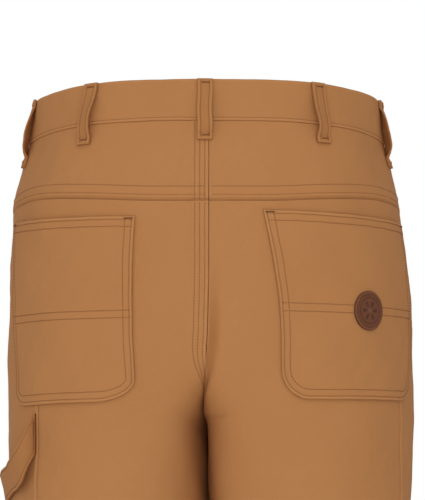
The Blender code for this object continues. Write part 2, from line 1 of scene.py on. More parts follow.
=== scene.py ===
# %% [markdown]
# # Work trousers in brown duck
#
# A pair of carpenter trousers is flat cloth that takes its shape from the wearer. Here they are filled out,
# with nobody inside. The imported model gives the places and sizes, and this lesson makes the cloth, the
# seams, the thread and the light. All lengths are metres, with +Z up and the back of the garment at +Y.

# %% Load the frame
import math
from collections import namedtuple

import bpy
import mathutils
import numpy as np
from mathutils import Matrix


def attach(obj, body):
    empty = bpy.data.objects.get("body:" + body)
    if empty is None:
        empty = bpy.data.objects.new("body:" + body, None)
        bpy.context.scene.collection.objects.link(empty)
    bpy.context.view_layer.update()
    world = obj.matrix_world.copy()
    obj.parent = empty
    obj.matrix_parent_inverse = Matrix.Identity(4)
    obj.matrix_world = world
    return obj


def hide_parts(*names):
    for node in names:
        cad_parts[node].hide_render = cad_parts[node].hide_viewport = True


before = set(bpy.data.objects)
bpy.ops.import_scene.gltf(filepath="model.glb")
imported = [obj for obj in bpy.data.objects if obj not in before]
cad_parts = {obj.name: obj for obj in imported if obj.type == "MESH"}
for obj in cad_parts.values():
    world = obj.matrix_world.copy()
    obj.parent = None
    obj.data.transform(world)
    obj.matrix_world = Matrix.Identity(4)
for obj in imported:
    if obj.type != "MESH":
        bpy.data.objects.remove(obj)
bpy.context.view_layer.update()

print("frame:", len(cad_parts), "nodes")

# %% [markdown]
# ## One surface for every piece
#
# Real trousers are cut from about a dozen panels, and each could be modelled by itself, but then the seams
# would never meet. Instead one surface is worked out for the whole garment, and a piece is a patch of it,
# moved out by its own height. A place is a level, which is the height at the side of the garment, and a
# way, which is the distance round the body from the centre back: positive to the wearer's left.

# %% Sizes of the garment
WAIST_TOP = 0.020
WAIST_BOTTOM = -0.020
YOKE_LEVEL = -0.085
SPLIT_LEVEL = -0.212
CROTCH_LEVEL = -0.285
LEG_START_LEVEL = -0.190
LEG_FORMED_LEVEL = -0.460
SPLIT_SHARPNESS = 16
FORK_GIRTH = 0.266
FORK_FRONT_GIRTH = 0.2535
FORK_ZONE = 0.050
HEM_LEVEL = -1.095
WAIST_TILT = 0.11
SIDE_FULLNESS = 3.0
DEPTH_FULLNESS = 1.7
LEG_FULLNESS = 2.2
MM = 0.001
LEFT, RIGHT = 1, -1
SIDES = {"left": LEFT, "right": RIGHT}

# Half of the garment: its reach from the centre plane and its depth forward and backward of the side.
Section = namedtuple("Section", "level inner outer front back")
SECTIONS = (
    Section(0.0200, 0.0000, 0.1664, 0.112, 0.115),
    Section(-0.0172, 0.0000, 0.1699, 0.117, 0.119),
    Section(-0.0430, 0.0000, 0.1765, 0.121, 0.123),
    Section(-0.0706, 0.0000, 0.1827, 0.124, 0.127),
    Section(-0.1088, 0.0000, 0.1870, 0.127, 0.131),
    Section(-0.1470, 0.0000, 0.1903, 0.128, 0.134),
    Section(-0.2040, 0.00012, 0.1930, 0.127, 0.136),
    Section(-0.2420, 0.00020, 0.1932, 0.124, 0.134),
    Section(-0.2850, 0.00030, 0.1930, 0.119, 0.129),
    Section(-0.3300, 0.0004, 0.1920, 0.114, 0.121),
    Section(-0.3600, 0.0007, 0.1908, 0.111, 0.116),
    Section(-0.4500, 0.0080, 0.1880, 0.104, 0.106),
    Section(-0.5500, 0.0180, 0.1860, 0.096, 0.095),
    Section(-0.6500, 0.0260, 0.1840, 0.090, 0.087),
    Section(-0.7500, 0.0310, 0.1840, 0.085, 0.081),
    Section(-0.9000, 0.0360, 0.1860, 0.079, 0.080),
    Section(-1.0000, 0.0380, 0.1880, 0.075, 0.080),
    Section(-1.0950, 0.0400, 0.1900, 0.072, 0.080),
)

# How far the middle and the sides are drawn toward the wearer's left, and the slant of the parting.
Drift = namedtuple("Drift", "level middle sides slant")
DRIFTS = (
    Drift(0.0200, 0.0000, 0.0005, 0.000),
    Drift(-0.0600, 0.0000, 0.0020, 0.000),
    Drift(-0.1300, 0.0000, 0.0000, 0.000),
    Drift(-0.2000, 0.0010, -0.0020, 0.000),
    Drift(-0.2400, 0.0040, -0.0020, 0.030),
    Drift(-0.2850, 0.0095, -0.0020, 0.072),
    Drift(-0.3300, 0.0095, -0.0020, 0.085),
    Drift(-0.4000, 0.0055, -0.0015, 0.085),
    Drift(-0.5500, 0.0000, 0.0000, 0.000),
    Drift(-1.0950, 0.0000, 0.0000, 0.000),
)

# Large soft folds of the solids: their height and width, their lean, and how deep they are.
Fold = namedtuple("Fold", "side level girth height width lean depth")
FOLDS = (
    Fold(LEFT, -0.345, 0.060, 0.050, 0.030, 0.30, -0.0012),
    Fold(RIGHT, -0.350, 0.055, 0.055, 0.032, 0.35, -0.0014),
    Fold(LEFT, -0.235, 0.455, 0.055, 0.022, -0.45, -0.0030),
    Fold(RIGHT, -0.225, 0.460, 0.060, 0.024, -0.50, -0.0035),
    Fold(LEFT, -0.640, 0.120, 0.020, 0.085, 0.00, -0.0045),
    Fold(LEFT, -0.700, 0.150, 0.018, 0.070, 0.00, -0.0035),
    Fold(RIGHT, -0.655, 0.130, 0.022, 0.080, 0.00, -0.0050),
    Fold(RIGHT, -0.725, 0.110, 0.016, 0.065, 0.00, -0.0030),
    Fold(LEFT, -0.985, 0.110, 0.018, 0.090, 0.00, -0.0040),
    Fold(LEFT, -1.020, 0.340, 0.016, 0.080, 0.00, -0.0045),
    Fold(RIGHT, -0.970, 0.330, 0.020, 0.085, 0.00, -0.0045),
    Fold(RIGHT, -1.025, 0.130, 0.015, 0.075, 0.00, -0.0035),
)

# How far behind the garment's widest line the outer leg seam runs, on each leg.
SeamRun = namedtuple("SeamRun", "level left right")
OUTSEAM = (
    SeamRun(0.020, -0.006, -0.006),
    SeamRun(-0.100, -0.006, -0.006),
    SeamRun(-0.150, 0.012, 0.006),
    SeamRun(-0.200, 0.052, 0.034),
    SeamRun(-0.240, 0.084, 0.053),
    SeamRun(-0.275, 0.094, 0.059),
    SeamRun(-0.350, 0.091, 0.059),
    SeamRun(-0.500, 0.064, 0.050),
    SeamRun(-0.700, 0.040, 0.036),
    SeamRun(-1.095, 0.020, 0.020),
)


def smooth_between(table, column, at):
    """Read a column at a level: a cubic through the table's rows, with harmonic mean slopes, so that it
    never overshoots."""
    rows = sorted(table)
    keys = np.array([row[0] for row in rows])
    values = np.array([getattr(row, column) for row in rows])
    steps = np.diff(keys)
    slopes = np.diff(values) / steps
    tangents = np.zeros_like(values)
    same_way = slopes[:-1] * slopes[1:] > 0
    harmonic = 2 * slopes[:-1] * slopes[1:] / np.where(same_way, slopes[:-1] + slopes[1:], 1.0)
    tangents[1:-1] = np.where(same_way, harmonic, 0.0)
    tangents[0] = slopes[0]
    tangents[-1] = slopes[-1]
    at = np.clip(at, keys[0], keys[-1])
    cell = np.minimum(np.searchsorted(keys, at, side="right") - 1, len(steps) - 1)
    step = steps[cell]
    t = (at - keys[cell]) / step
    start = (2 * t**3 - 3 * t**2 + 1) * values[cell] + (t**3 - 2 * t**2 + t) * step * tangents[cell]
    end = (3 * t**2 - 2 * t**3) * values[cell + 1] + (t**3 - t**2) * step * tangents[cell + 1]
    return start + end


def ramp(start, end, at):
    """Go smoothly from 0 at start to 1 at end: 3t^2 - 2t^3."""
    t = np.clip((at - start) / (end - start), 0.0, 1.0)
    return t * t * (3 - 2 * t)


def bell(at, width):
    """A bump of height 1 at 0 and of that width: e to the minus (at / width)^2."""
    return np.exp(-((at / width) ** 2))


# %% [markdown]
# ## Creases
#
# Heavy duck holds broad, shallow creases. A simulation could find them, but it would also move the seams.
# Each crease is therefore a long soft bell, placed one by one: behind the knees, across the lap, at the hems,
# and faintly under the seat. No two are alike in length, depth or lean.

# %% Creases
Crease = namedtuple("Crease", "side level girth length width turn depth")
CREASES = (
    Crease(LEFT, -0.312, 0.060, 60 * MM, 13 * MM, 38, -0.40 * MM),
    Crease(RIGHT, -0.322, 0.050, 52 * MM, 12 * MM, 34, -0.35 * MM),
    Crease(LEFT, -0.372, 0.050, 46 * MM, 11 * MM, 52, -0.45 * MM),
    Crease(RIGHT, -0.384, 0.045, 58 * MM, 12 * MM, 48, -0.55 * MM),
    Crease(LEFT, -0.615, 0.085, 52 * MM, 9 * MM, 8, -1.8 * MM),
    Crease(LEFT, -0.665, 0.060, 44 * MM, 8 * MM, -12, -1.5 * MM),
    Crease(LEFT, -0.720, 0.095, 60 * MM, 9 * MM, 6, -1.6 * MM),
    Crease(RIGHT, -0.625, 0.075, 48 * MM, 9 * MM, -7, -1.7 * MM),
    Crease(RIGHT, -0.690, 0.105, 56 * MM, 8 * MM, 14, -1.9 * MM),
    Crease(RIGHT, -0.760, 0.065, 40 * MM, 8 * MM, -5, -1.2 * MM),
    Crease(LEFT, -0.215, 0.425, 42 * MM, 8 * MM, -38, -1.5 * MM),
    Crease(LEFT, -0.262, 0.440, 50 * MM, 9 * MM, -28, -1.8 * MM),
    Crease(RIGHT, -0.205, 0.430, 38 * MM, 8 * MM, -42, -1.4 * MM),
    Crease(RIGHT, -0.255, 0.438, 54 * MM, 10 * MM, -30, -1.9 * MM),
    Crease(LEFT, -0.655, 0.345, 46 * MM, 9 * MM, 5, -1.0 * MM),
    Crease(RIGHT, -0.640, 0.350, 40 * MM, 9 * MM, -9, -1.1 * MM),
    Crease(LEFT, -0.955, 0.080, 48 * MM, 8 * MM, 9, -1.4 * MM),
    Crease(LEFT, -1.035, 0.170, 42 * MM, 7 * MM, -8, -1.5 * MM),
    Crease(RIGHT, -0.945, 0.110, 52 * MM, 8 * MM, -11, -1.6 * MM),
    Crease(RIGHT, -1.040, 0.330, 46 * MM, 8 * MM, 7, -1.4 * MM),
    Crease(LEFT, -0.985, 0.375, 44 * MM, 7 * MM, -10, -1.4 * MM),
    Crease(RIGHT, -1.000, 0.200, 38 * MM, 7 * MM, 12, -1.2 * MM),
)
# Waves so long and shallow that only the light shows them: height, length along and across, and phase.
Wave = namedtuple("Wave", "height along across phase")
WAVES = (
    Wave(0.55 * MM, 0.093, 0.141, 0.3),
    Wave(0.35 * MM, 0.061, -0.083, 1.9),
    Wave(0.16 * MM, 0.027, 0.043, 4.1),
    Wave(0.10 * MM, -0.019, 0.031, 2.6),
)


def crease_height(side, level, girth):
    """Add up the creases of one side. Each is a bell along its length times a bell across it."""
    height = np.zeros(np.broadcast(level, girth).shape)
    for crease in CREASES:
        if crease.side == side:
            turn = math.radians(crease.turn)
            up = level - crease.level
            along = (girth - crease.girth) * math.cos(turn) + up * math.sin(turn)
            across = up * math.cos(turn) - (girth - crease.girth) * math.sin(turn)
            height += crease.depth * bell(along, crease.length) * bell(across, crease.width)
    return height


def wave_height(level, way):
    """Add up sine waves over the way round and the level."""
    height = 0.0
    for wave in WAVES:
        turns = way / wave.along + level / wave.across
        height = height + wave.height * np.sin(2 * np.pi * turns + wave.phase)
    return height


# %% [markdown]
# ## The surface as a table
#
# A section is a broad waist at the top, where x runs from the centre plane out to the side and the depth
# falls off as (1 - x^3)^(1/1.7). Below the crotch it is a closed tube, a superellipse. In between, a share
# blends the two depths. The whole surface is worked out once on a fine grid of levels by shares of the
# girth, and every later question is answered by reading between the grid's points. In those shares the
# cloth that turns in between the legs is drawn together, so that the grid runs on smoothly past the fork.

# %% The garment's surface
TABLE_LEVELS = np.linspace(0.034, -1.104, 1139)
TABLE_SHARES = np.linspace(0.0, 1.0, 601)
TURNS = np.linspace(np.pi, -np.pi, 721)


def power(values, exponent):
    """Raise the size of each value to a power and keep its sign."""
    return np.sign(values) * np.abs(values) ** exponent


def row_lengths(points):
    """The distance along each row of points from its first one."""
    steps = np.linalg.norm(np.diff(points, axis=1), axis=2)
    return np.concatenate([np.zeros((len(points), 1)), np.cumsum(steps, axis=1)], axis=1)


def trace_half(side):
    """Trace every section of one half, from the centre back to the centre front."""
    level = TABLE_LEVELS[:, None]
    inner, outer, front, back = (smooth_between(SECTIONS, name, level) for name in Section._fields[1:])
    across = power(np.cos(TURNS), 2 / LEG_FULLNESS)[None, :]
    x = inner + (outer - inner) * (1 + across) / 2
    depth = np.where(TURNS[None, :] > 0, back, -front)
    s = np.clip((SPLIT_LEVEL - level) / (SPLIT_LEVEL - CROTCH_LEVEL), 0.0, 1.0)
    at_seam = 1 - np.sqrt(1 - s * s)
    away = ramp(LEG_START_LEVEL, LEG_FORMED_LEVEL, level)
    share = away + (at_seam - away) * ((1 - np.cos(TURNS[None, :])) / 2) ** SPLIT_SHARPNESS
    torso = (1 - np.clip(x / outer, 0, 1) ** SIDE_FULLNESS) ** (1 / DEPTH_FULLNESS)
    leg = np.abs(np.sin(TURNS[None, :])) ** (2 / LEG_FULLNESS)
    y = depth * (torso * (1 - share) + leg * share)

    girth = row_lengths(np.stack([x, y], axis=2))
    turned_in = girth[:, len(TURNS) // 2][:, None] - FORK_GIRTH
    girth = girth - turned_in * ramp(LEG_START_LEVEL, SPLIT_LEVEL, level)
    push = crease_height(side, level, girth) + wave_height(level, side * girth)
    for fold in FOLDS:
        if fold.side == side:
            run = girth - fold.girth - fold.lean * (level - fold.level)
            push += fold.depth * bell(level - fold.level, fold.height) * bell(run, fold.width)
    along_x, along_y = np.gradient(x, axis=1), np.gradient(y, axis=1)
    length = np.maximum(np.hypot(along_x, along_y), 1e-9)
    x = np.maximum(x - push * along_y / length, inner)
    y = y + push * along_x / length

    spread = np.clip(x / outer, 0, 1) ** 2
    middle, sides, slant = (smooth_between(DRIFTS, name, level) for name in Drift._fields[1:])
    x = side * x + (middle + slant * (y - back)) * (1 - spread) + sides * spread
    z = level + WAIST_TILT * ramp(YOKE_LEVEL, WAIST_BOTTOM, level) * y
    return np.stack([x, y, z], axis=2)


def draw_together(run, turned):
    """Shorten a run from the fork by what turns in: n / (n + t) of it in the zone n, and t less past it."""
    zone = FORK_ZONE + turned
    return np.where(run < zone, run * FORK_ZONE / zone, run - turned)


def let_out(run, turned):
    """Undo that: (n + t) / n of the run in the zone, and t more past it."""
    return np.where(run < FORK_ZONE, run * (FORK_ZONE + turned) / FORK_ZONE, run + turned)


class Surface:
    """The whole garment's surface as a table of points and outward directions."""

    def __init__(self):
        points, ways_out, self.half_table, self.side_table = [], [], [], []
        for side in (LEFT, RIGHT):
            traced = trace_half(side)
            lengths = row_lengths(traced)
            self.half_table.append(lengths[:, -1])
            self.side_table.append(lengths[:, len(TURNS) // 2])
            girths = self.girth_at(side, TABLE_LEVELS[:, None], TABLE_SHARES[None, :])
            rows = [
                [np.interp(girth, run, row[:, axis]) for axis in range(3)]
                for girth, run, row in zip(girths, lengths, traced)
            ]
            table = np.moveaxis(np.array(rows), 1, 2)
            round_way = np.gradient(table, axis=1)
            up_way = -np.gradient(table, axis=0)
            out = side * np.cross(up_way, round_way)
            points.append(table)
            ways_out.append(out / np.maximum(np.linalg.norm(out, axis=2, keepdims=True), 1e-12))
        self.points = np.array(points)
        self.out = np.array(ways_out)

    def row_of(self, level):
        step = TABLE_LEVELS[1] - TABLE_LEVELS[0]
        return np.clip((np.asarray(level, float) - TABLE_LEVELS[0]) / step, 0, len(TABLE_LEVELS) - 1.001)

    def half(self, side, level):
        """The whole way from the centre back to the centre front."""
        return np.interp(self.row_of(level), np.arange(len(TABLE_LEVELS)), self.half_table[(1 - side) // 2])

    def side_line(self, side, level):
        """The girth of the garment's widest line."""
        return np.interp(self.row_of(level), np.arange(len(TABLE_LEVELS)), self.side_table[(1 - side) // 2])

    def turned_in(self, side, level):
        """How much of the girth turns in between the legs, at the back and at the front."""
        below = ramp(LEG_START_LEVEL, SPLIT_LEVEL, np.asarray(level, float))
        behind = self.side_line(side, level)
        return (behind - FORK_GIRTH) * below, (self.half(side, level) - behind - FORK_FRONT_GIRTH) * below

    def even_share(self, side, level, girth):
        """The share of the way round at a girth, with that cloth drawn together."""
        back, front = self.turned_in(side, level)
        half = self.half(side, level)
        total = half - back - front
        behind = draw_together(girth, back)
        before = total - draw_together(half - girth, front)
        return np.where(girth < self.side_line(side, level), behind, before) / total

    def girth_at(self, side, level, share):
        """The girth at such a share."""
        back, front = self.turned_in(side, level)
        half = self.half(side, level)
        total = half - back - front
        even = share * total
        behind = let_out(even, back)
        before = half - let_out(total - even, front)
        return np.where(even < self.side_line(side, level) - back, behind, before)

    def outseam(self, side, level):
        """The girth of the outer leg seam."""
        word = "left" if side == LEFT else "right"
        return self.side_line(side, level) - smooth_between(OUTSEAM, word, np.asarray(level, float))

    def off(self, level, way, distance=0.0):
        """The points that stand a distance off the surface, at these levels and ways."""
        level, way, distance = np.broadcast_arrays(*(np.asarray(v, float) for v in (level, way, distance)))
        row = self.row_of(level)
        low_row = row.astype(int)
        up = (row - low_row)[..., None]
        half = np.where(way >= 0, self.half(LEFT, level), self.half(RIGHT, level))
        past = np.abs(way) > half
        girth = np.where(past, 2 * half - np.abs(way), np.abs(way))
        which = np.where((way >= 0) ^ past, 0, 1)
        shares = [self.even_share(side, level, girth) for side in (LEFT, RIGHT)]
        share = np.where(which == 0, *shares)
        column = np.clip(share, 0, 1) * (len(TABLE_SHARES) - 1)
        low_column = np.minimum(column.astype(int), len(TABLE_SHARES) - 2)
        over = (column - low_column)[..., None]

        def read_row(table, at):
            return table[which, at, low_column] * (1 - over) + table[which, at, low_column + 1] * over

        def read(table):
            return read_row(table, low_row) * (1 - up) + read_row(table, low_row + 1) * up

        out = read(self.out)
        out /= np.linalg.norm(out, axis=-1, keepdims=True)
        return read(self.points) + out * distance[..., None]


body = Surface()
print("surface:", body.points.shape, "waist", round(2 * float(body.half(LEFT, 0.0)), 3), "m round")

# %% [markdown]
# ## Turning grids into cloth
#
# Cloth has two faces and an edge, so a piece is a closed wall: an outer grid, an inner grid, and a strip
# round the rim. A Solidify modifier would do that too, but here each face has its own height, so that an
# edge can be rounded while the inside stays flat. The grid's lines crowd together near seams and stitch
# rows, where the relief is, and stay apart elsewhere.

# %% Mesh helpers
SHEETS = []


def spread(length, step, near=(), fine=0.5 * MM, reach=4 * MM):
    """Distances from 0 to length. The step shrinks in a bell of that reach to fine at each near place."""
    at = np.linspace(0, length, 6001)
    size = np.full_like(at, step)
    for place in near:
        size = np.minimum(size, fine + (step - fine) * (1 - bell(at - place, reach)))
    count = np.concatenate([[0.0], np.cumsum(np.diff(at) * 2 / (size[1:] + size[:-1]))])
    return np.interp(np.linspace(0, count[-1], int(math.ceil(count[-1])) + 1), count, at)


def put_mesh(name, vertices, quads, uv, triangles=None):
    """Put arrays of points and faces into a new object, smooth shaded, with a UV place for each point."""
    mesh = bpy.data.meshes.new(name)
    corners = quads.reshape(-1)
    starts = np.arange(len(quads)) * 4
    totals = np.full(len(quads), 4)
    if triangles is not None:
        starts = np.concatenate([starts, len(corners) + np.arange(len(triangles)) * 3])
        totals = np.concatenate([totals, np.full(len(triangles), 3)])
        corners = np.concatenate([corners, triangles.reshape(-1)])
    mesh.vertices.add(len(vertices))
    mesh.vertices.foreach_set("co", vertices.astype(np.float32).reshape(-1))
    mesh.loops.add(len(corners))
    mesh.loops.foreach_set("vertex_index", corners.astype(np.int32))
    mesh.polygons.add(len(starts))
    mesh.polygons.foreach_set("loop_start", starts.astype(np.int32))
    mesh.polygons.foreach_set("loop_total", totals.astype(np.int32))
    mesh.update(calc_edges=True)
    mesh.validate()
    layer = mesh.uv_layers.new(name="cloth")
    layer.data.foreach_set("uv", uv[corners].astype(np.float32).reshape(-1))
    mesh.shade_smooth()
    made = bpy.data.objects.new(name, mesh)
    bpy.context.scene.collection.objects.link(made)
    return made


def signed_volume(vertices, quads):
    """Six times the volume that the faces enclose: the sum of a . (b x c) over their triangles."""
    a, b, c, d = (vertices[quads[:, corner]] for corner in range(4))
    return np.sum(a * np.cross(b, c)) + np.sum(a * np.cross(c, d))


def wall(name, outer, inner, wear=None):
    """Close two grids of points into a wall of cloth, with the outward side found by its volume."""
    rows, columns = outer.shape[:2]
    count = rows * columns
    index = np.arange(count).reshape(rows, columns)
    face = np.stack([index[:-1, :-1], index[:-1, 1:], index[1:, 1:], index[1:, :-1]], axis=2).reshape(-1, 4)
    rim = np.concatenate([index[0, :-1], index[:-1, -1], index[-1, :0:-1], index[:0:-1, 0]])
    ahead = np.roll(rim, -1)
    edge = np.stack([ahead, rim, rim + count, ahead + count], axis=1)
    quads = np.concatenate([face, face[:, ::-1] + count, edge])
    vertices = np.concatenate([outer.reshape(-1, 3), inner.reshape(-1, 3)])
    if signed_volume(vertices, quads) < 0:
        quads = quads[:, ::-1]
    across = row_lengths(outer)
    across -= across[:, columns // 2][:, None]
    down = row_lengths(np.swapaxes(outer, 0, 1)).T
    down = np.broadcast_to(down[:, columns // 2][:, None], across.shape)
    uv = np.stack([across, down], axis=2).reshape(-1, 2)
    made = put_mesh(name, vertices, quads, np.concatenate([uv, uv]))
    values = np.zeros((rows, columns)) if wear is None else np.broadcast_to(wear, (rows, columns))
    layer = made.data.attributes.new("wear", "FLOAT", "POINT")
    outside = values.reshape(-1)
    layer.data.foreach_set("value", np.concatenate([outside, 0 * outside]).astype(np.float32))
    return made


def flat_size(outer):
    """Measure a piece of cloth laid flat: its greatest width and length, and its area."""
    width = row_lengths(outer)[:, -1].max()
    length = row_lengths(np.swapaxes(outer, 0, 1))[:, -1].max()
    one, other = outer[1:, 1:] - outer[:-1, :-1], outer[1:, :-1] - outer[:-1, 1:]
    area = np.linalg.norm(np.cross(one, other), axis=2).sum() / 2
    return width, length, min(area, 0.999 * width * length)


def cloth(name, outer, inner, finish, wear=None):
    made = wall(name, outer, inner, wear)
    made.data.materials.append(finish)
    width, length, area = flat_size(outer)
    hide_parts(name)
    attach(made, "root")
    SHEETS.append((name, width, length, area))
    faces = len(made.data.polygons)
    print(f"{name}: {width / MM:.0f} x {length / MM:.0f} mm, {area:.4f} m2, {faces} faces")
    return made


def rounded(distance, radius):
    """How far a folded edge curves down at a distance from it: r - sqrt(r^2 - (r - d)^2), and 0 past r."""
    short = np.clip(radius - distance, 0, radius)
    return radius - np.sqrt(radius**2 - short**2)


def trough(distance, width=0.9 * MM, depth=0.08 * MM):
    """How far a row of stitches pulls the cloth down at a distance from the row."""
    return depth * bell(distance, width)


# %% [markdown]
# ## Shader maths in plain Python
#
# A material is a graph of nodes. Wiring it by hand hides the idea, so one small class wraps a socket and
# lets Python's own operators add the Math nodes, and one method adds any other node. The finishes below
# can then be read as formulas.

# %% A small language for finishes


class Value:
    """A shader socket that takes +, - and *."""

    def __init__(self, finish, socket):
        self.finish = finish
        self.socket = socket

    def math(self, operation, first, second):
        return self.finish.node("ShaderNodeMath", {"operation": operation}, {0: first, 1: second})

    def __add__(self, other):
        return self.math("ADD", self, other)

    def __radd__(self, other):
        return self.math("ADD", other, self)

    def __sub__(self, other):
        return self.math("SUBTRACT", self, other)

    def __rsub__(self, other):
        return self.math("SUBTRACT", other, self)

    def __mul__(self, other):
        return self.math("MULTIPLY", self, other)

    def __rmul__(self, other):
        return self.math("MULTIPLY", other, self)

    def most(self, other):
        return self.math("MAXIMUM", self, other)

    def sine(self):
        return self.math("SINE", self, 0.0)


class Finish:
    """A material under construction."""

    def __init__(self, name, roughness, metallic=0.0):
        self.material = bpy.data.materials.new(name)
        self.material.use_nodes = True
        self.tree = self.material.node_tree
        self.shader = self.tree.nodes["Principled BSDF"]
        self.shader.inputs["Roughness"].default_value = roughness
        self.shader.inputs["Metallic"].default_value = metallic

    def feed(self, socket, value):
        if isinstance(value, Value):
            self.tree.links.new(value.socket, socket)
        elif isinstance(value, tuple) and len(value) == 3 and len(socket.default_value) == 4:
            socket.default_value = (*value, 1.0)
        else:
            socket.default_value = value

    def node(self, kind, settings=None, inputs=None, output=0):
        made = self.tree.nodes.new(kind)
        for name, value in (settings or {}).items():
            setattr(made, name, value)
        for name, value in (inputs or {}).items():
            self.feed(made.inputs[name], value)
        return Value(self, made.outputs[output])

    def place(self):
        """The point on the piece, in metres."""
        return self.node("ShaderNodeTexCoord", output="Object")

    def noise(self, scale, detail=2.0, roughness=0.5):
        inputs = {"Vector": self.place(), "Scale": scale, "Detail": detail, "Roughness": roughness}
        return self.node("ShaderNodeTexNoise", {}, inputs)

    def wear(self):
        """What the mesh says of the spot: above 0 on a rubbed edge, below 0 in a groove. On the duck the
        rubbed edge is partly wear and partly painted highlight, and the groove is painted shade.
        """
        return self.node("ShaderNodeAttribute", {"attribute_name": "wear"}, output="Fac")

    def mix(self, factor, first, second):
        """Go from one colour to another. Sockets 0, 6 and 7 are the factor and the two colours."""
        settings = {"data_type": "RGBA", "clamp_factor": True}
        return self.node("ShaderNodeMix", settings, {0: factor, 6: first, 7: second}, output=2)

    def bump(self, height, distance, strength=1.0, normal=None):
        inputs = {"Height": height, "Distance": distance, "Strength": strength}
        if normal is not None:
            inputs["Normal"] = normal
        return self.node("ShaderNodeBump", {}, inputs)

    def use(self, **sockets):
        for name, value in sockets.items():
            self.feed(self.shader.inputs[name.replace("_", " ")], value)
        return self.material


# %% [markdown]
# ## Duck canvas
#
# Duck is a tight plain weave: doubled warp threads, and a thicker weft that shows as fine ribs. The weave
# follows the cloth, so it reads the piece's own UV map, which is in metres. Over it lie a mottled dye, a
# little fading and painted highlight on rubbed edges, and painted shade in grooves, in the furrow beside the
# centre back seam and at the hammer loop's root, all from the mesh. A flat brown would look like card.

# %% Finishes for the cloth
DUCK = (0.434, 0.191, 0.067)
DUCK_DEEP = (0.345, 0.142, 0.045)
DUCK_PALE = (0.530, 0.250, 0.095)
WARP_PITCH = 0.85 * MM
WEFT_PITCH = 1.10 * MM


def duck_finish(name):
    """Mottled dye on a plain weave. The ribs' height is sin(u) * sin(v), with thick and thin threads."""
    duck = Finish(name, 0.86)
    uv = duck.node("ShaderNodeUVMap", {"uv_map": "cloth"})
    u, v = (duck.node("ShaderNodeSeparateXYZ", {}, {0: uv}, output=axis) for axis in (0, 1))
    slub = duck.noise(900.0, 2.0)
    warp = (u * (2 * math.pi / WARP_PITCH)).sine()
    weft = (v * (2 * math.pi / WEFT_PITCH)).sine()
    weave = warp * weft * 0.5 + slub * 0.8
    dye = duck.noise(9.0, 3.0, 0.55)
    mottle = duck.noise(160.0, 4.0, 0.65)
    wear = duck.wear()
    color = duck.mix((dye - 0.5) * 0.55 + (mottle - 0.5) * 0.75 + (slub - 0.5) * 0.25, DUCK, DUCK_DEEP)
    color = duck.mix((mottle - 0.52) * 0.8 + (0.5 - dye) * 0.3, color, DUCK_PALE)
    # Paler on rubbed edges: partly wear, partly painted highlight.
    color = duck.mix(wear.most(0.0) * (0.45 + mottle * 0.5), color, DUCK_PALE)
    # Darker below 0: painted shade in grooves, the centre back furrow and the hammer loop's root, and a
    # darker tone on the straps.
    color = duck.mix((wear * -1.0).most(0.0), color, DUCK_DEEP)
    grain = duck.bump(weave, 0.16 * MM, 0.75)
    soft = duck.bump(mottle, 0.5 * MM, 0.22, grain)
    return duck.use(Base_Color=color, Roughness=0.80 + dye * 0.14, Specular_IOR_Level=0.18, Normal=soft)


def thread_finish():
    """Matching thread, a shade deeper than the cloth, with a fine twist."""
    thread = Finish("thread", 0.62)
    twist = thread.noise(2600.0, 1.0)
    color = thread.mix(twist, (0.165, 0.054, 0.017), (0.240, 0.086, 0.028))
    return thread.use(Base_Color=color, Specular_IOR_Level=0.2, Normal=thread.bump(twist, 0.1 * MM, 0.5))


DUCK_FINISH = duck_finish("duck")
THREAD_FINISH = thread_finish()

# %% [markdown]
# ## Panels
#
# The seat is a yoke over two back panels. The left panel is folded over the right at the centre back and
# sewn down with three rows, and the yoke is lapped over both with two. Those laps are what the light
# catches, so each panel's height says where it is doubled, where a row pulls it down, and where its edge
# curves away. The outer leg seam is plain: two edges pressed open, with a narrow groove between them.

# %% Panel heights
CLOTH = 1.5 * MM
HEM_CLOTH = 2.8 * MM
HEM_HEIGHT = 20 * MM
SEAM_GAP = 0.3 * MM
EDGE_RADIUS = 0.7 * MM
FELL_WIDTH = 15.5 * MM
FELL_HEIGHT = 0.8 * MM
FELL_ROWS = (3.6 * MM, 8.4 * MM, 13.0 * MM)
FELL_END_LEVEL = -0.268
VALLEY_DEPTH = 2.4 * MM
YOKE_LAP_HEIGHT = 0.7 * MM
YOKE_LAP_WIDTH = 14.5 * MM
YOKE_ROWS = (5.2 * MM, 11.8 * MM)
HEM_ROWS = (14.0 * MM, 17.0 * MM)
INSEAM_ROWS = (3.2 * MM, 8.6 * MM)

YokeRise = namedtuple("YokeRise", "share rise")
YOKE_RISE = (
    YokeRise(0.00, 0.0024),
    YokeRise(0.20, 0.0025),
    YokeRise(0.45, 0.0055),
    YokeRise(0.68, 0.0080),
    YokeRise(0.86, 0.0060),
    YokeRise(1.00, 0.0000),
)


def fell_narrows(level):
    """The felled seam's rows draw together toward the crotch."""
    return 1 - 0.62 * ramp(-0.215, FELL_END_LEVEL, level)


def valley(level, girth):
    """Where the cloth sinks beside the felled seam, to the right of it: 1 in the middle of the furrow, where
    shade is also painted into the colour.
    """
    reach = (1 - ramp(-0.215, -0.130, level)) * ramp(-0.330, -0.285, level)
    return bell(girth - 5.6 * MM, 4.6 * MM) * ramp(0.0, 3.2 * MM, girth) * reach


def yoke_height(above):
    """The yoke's lap over the back: full at its edge, and none past its width."""
    return YOKE_LAP_HEIGHT * (1 - ramp(YOKE_LAP_WIDTH - 1 * MM, YOKE_LAP_WIDTH + 2 * MM, above))


def fell_height(side, level, girth):
    """The centre back's lap: full height on the left, with its rows pressed in, and none on the right."""
    fade = ramp(FELL_END_LEVEL - 0.012, FELL_END_LEVEL + 0.008, level)
    width = FELL_WIDTH * fell_narrows(level)
    if side == RIGHT:
        return -VALLEY_DEPTH * valley(level, girth)
    height = FELL_HEIGHT * (1 - ramp(width - 1.0 * MM, width + 1.6 * MM, girth))
    for row in FELL_ROWS:
        height -= trough(girth - row * fell_narrows(level))
    return height * fade


def plain_seam(distance, ridge=0.50 * MM):
    """A pressed open seam: a low ridge over the turned edge, which then curves down into the groove."""
    return ridge * bell(distance - 3.2 * MM, 2.4 * MM) - rounded(distance, 1.5 * MM)


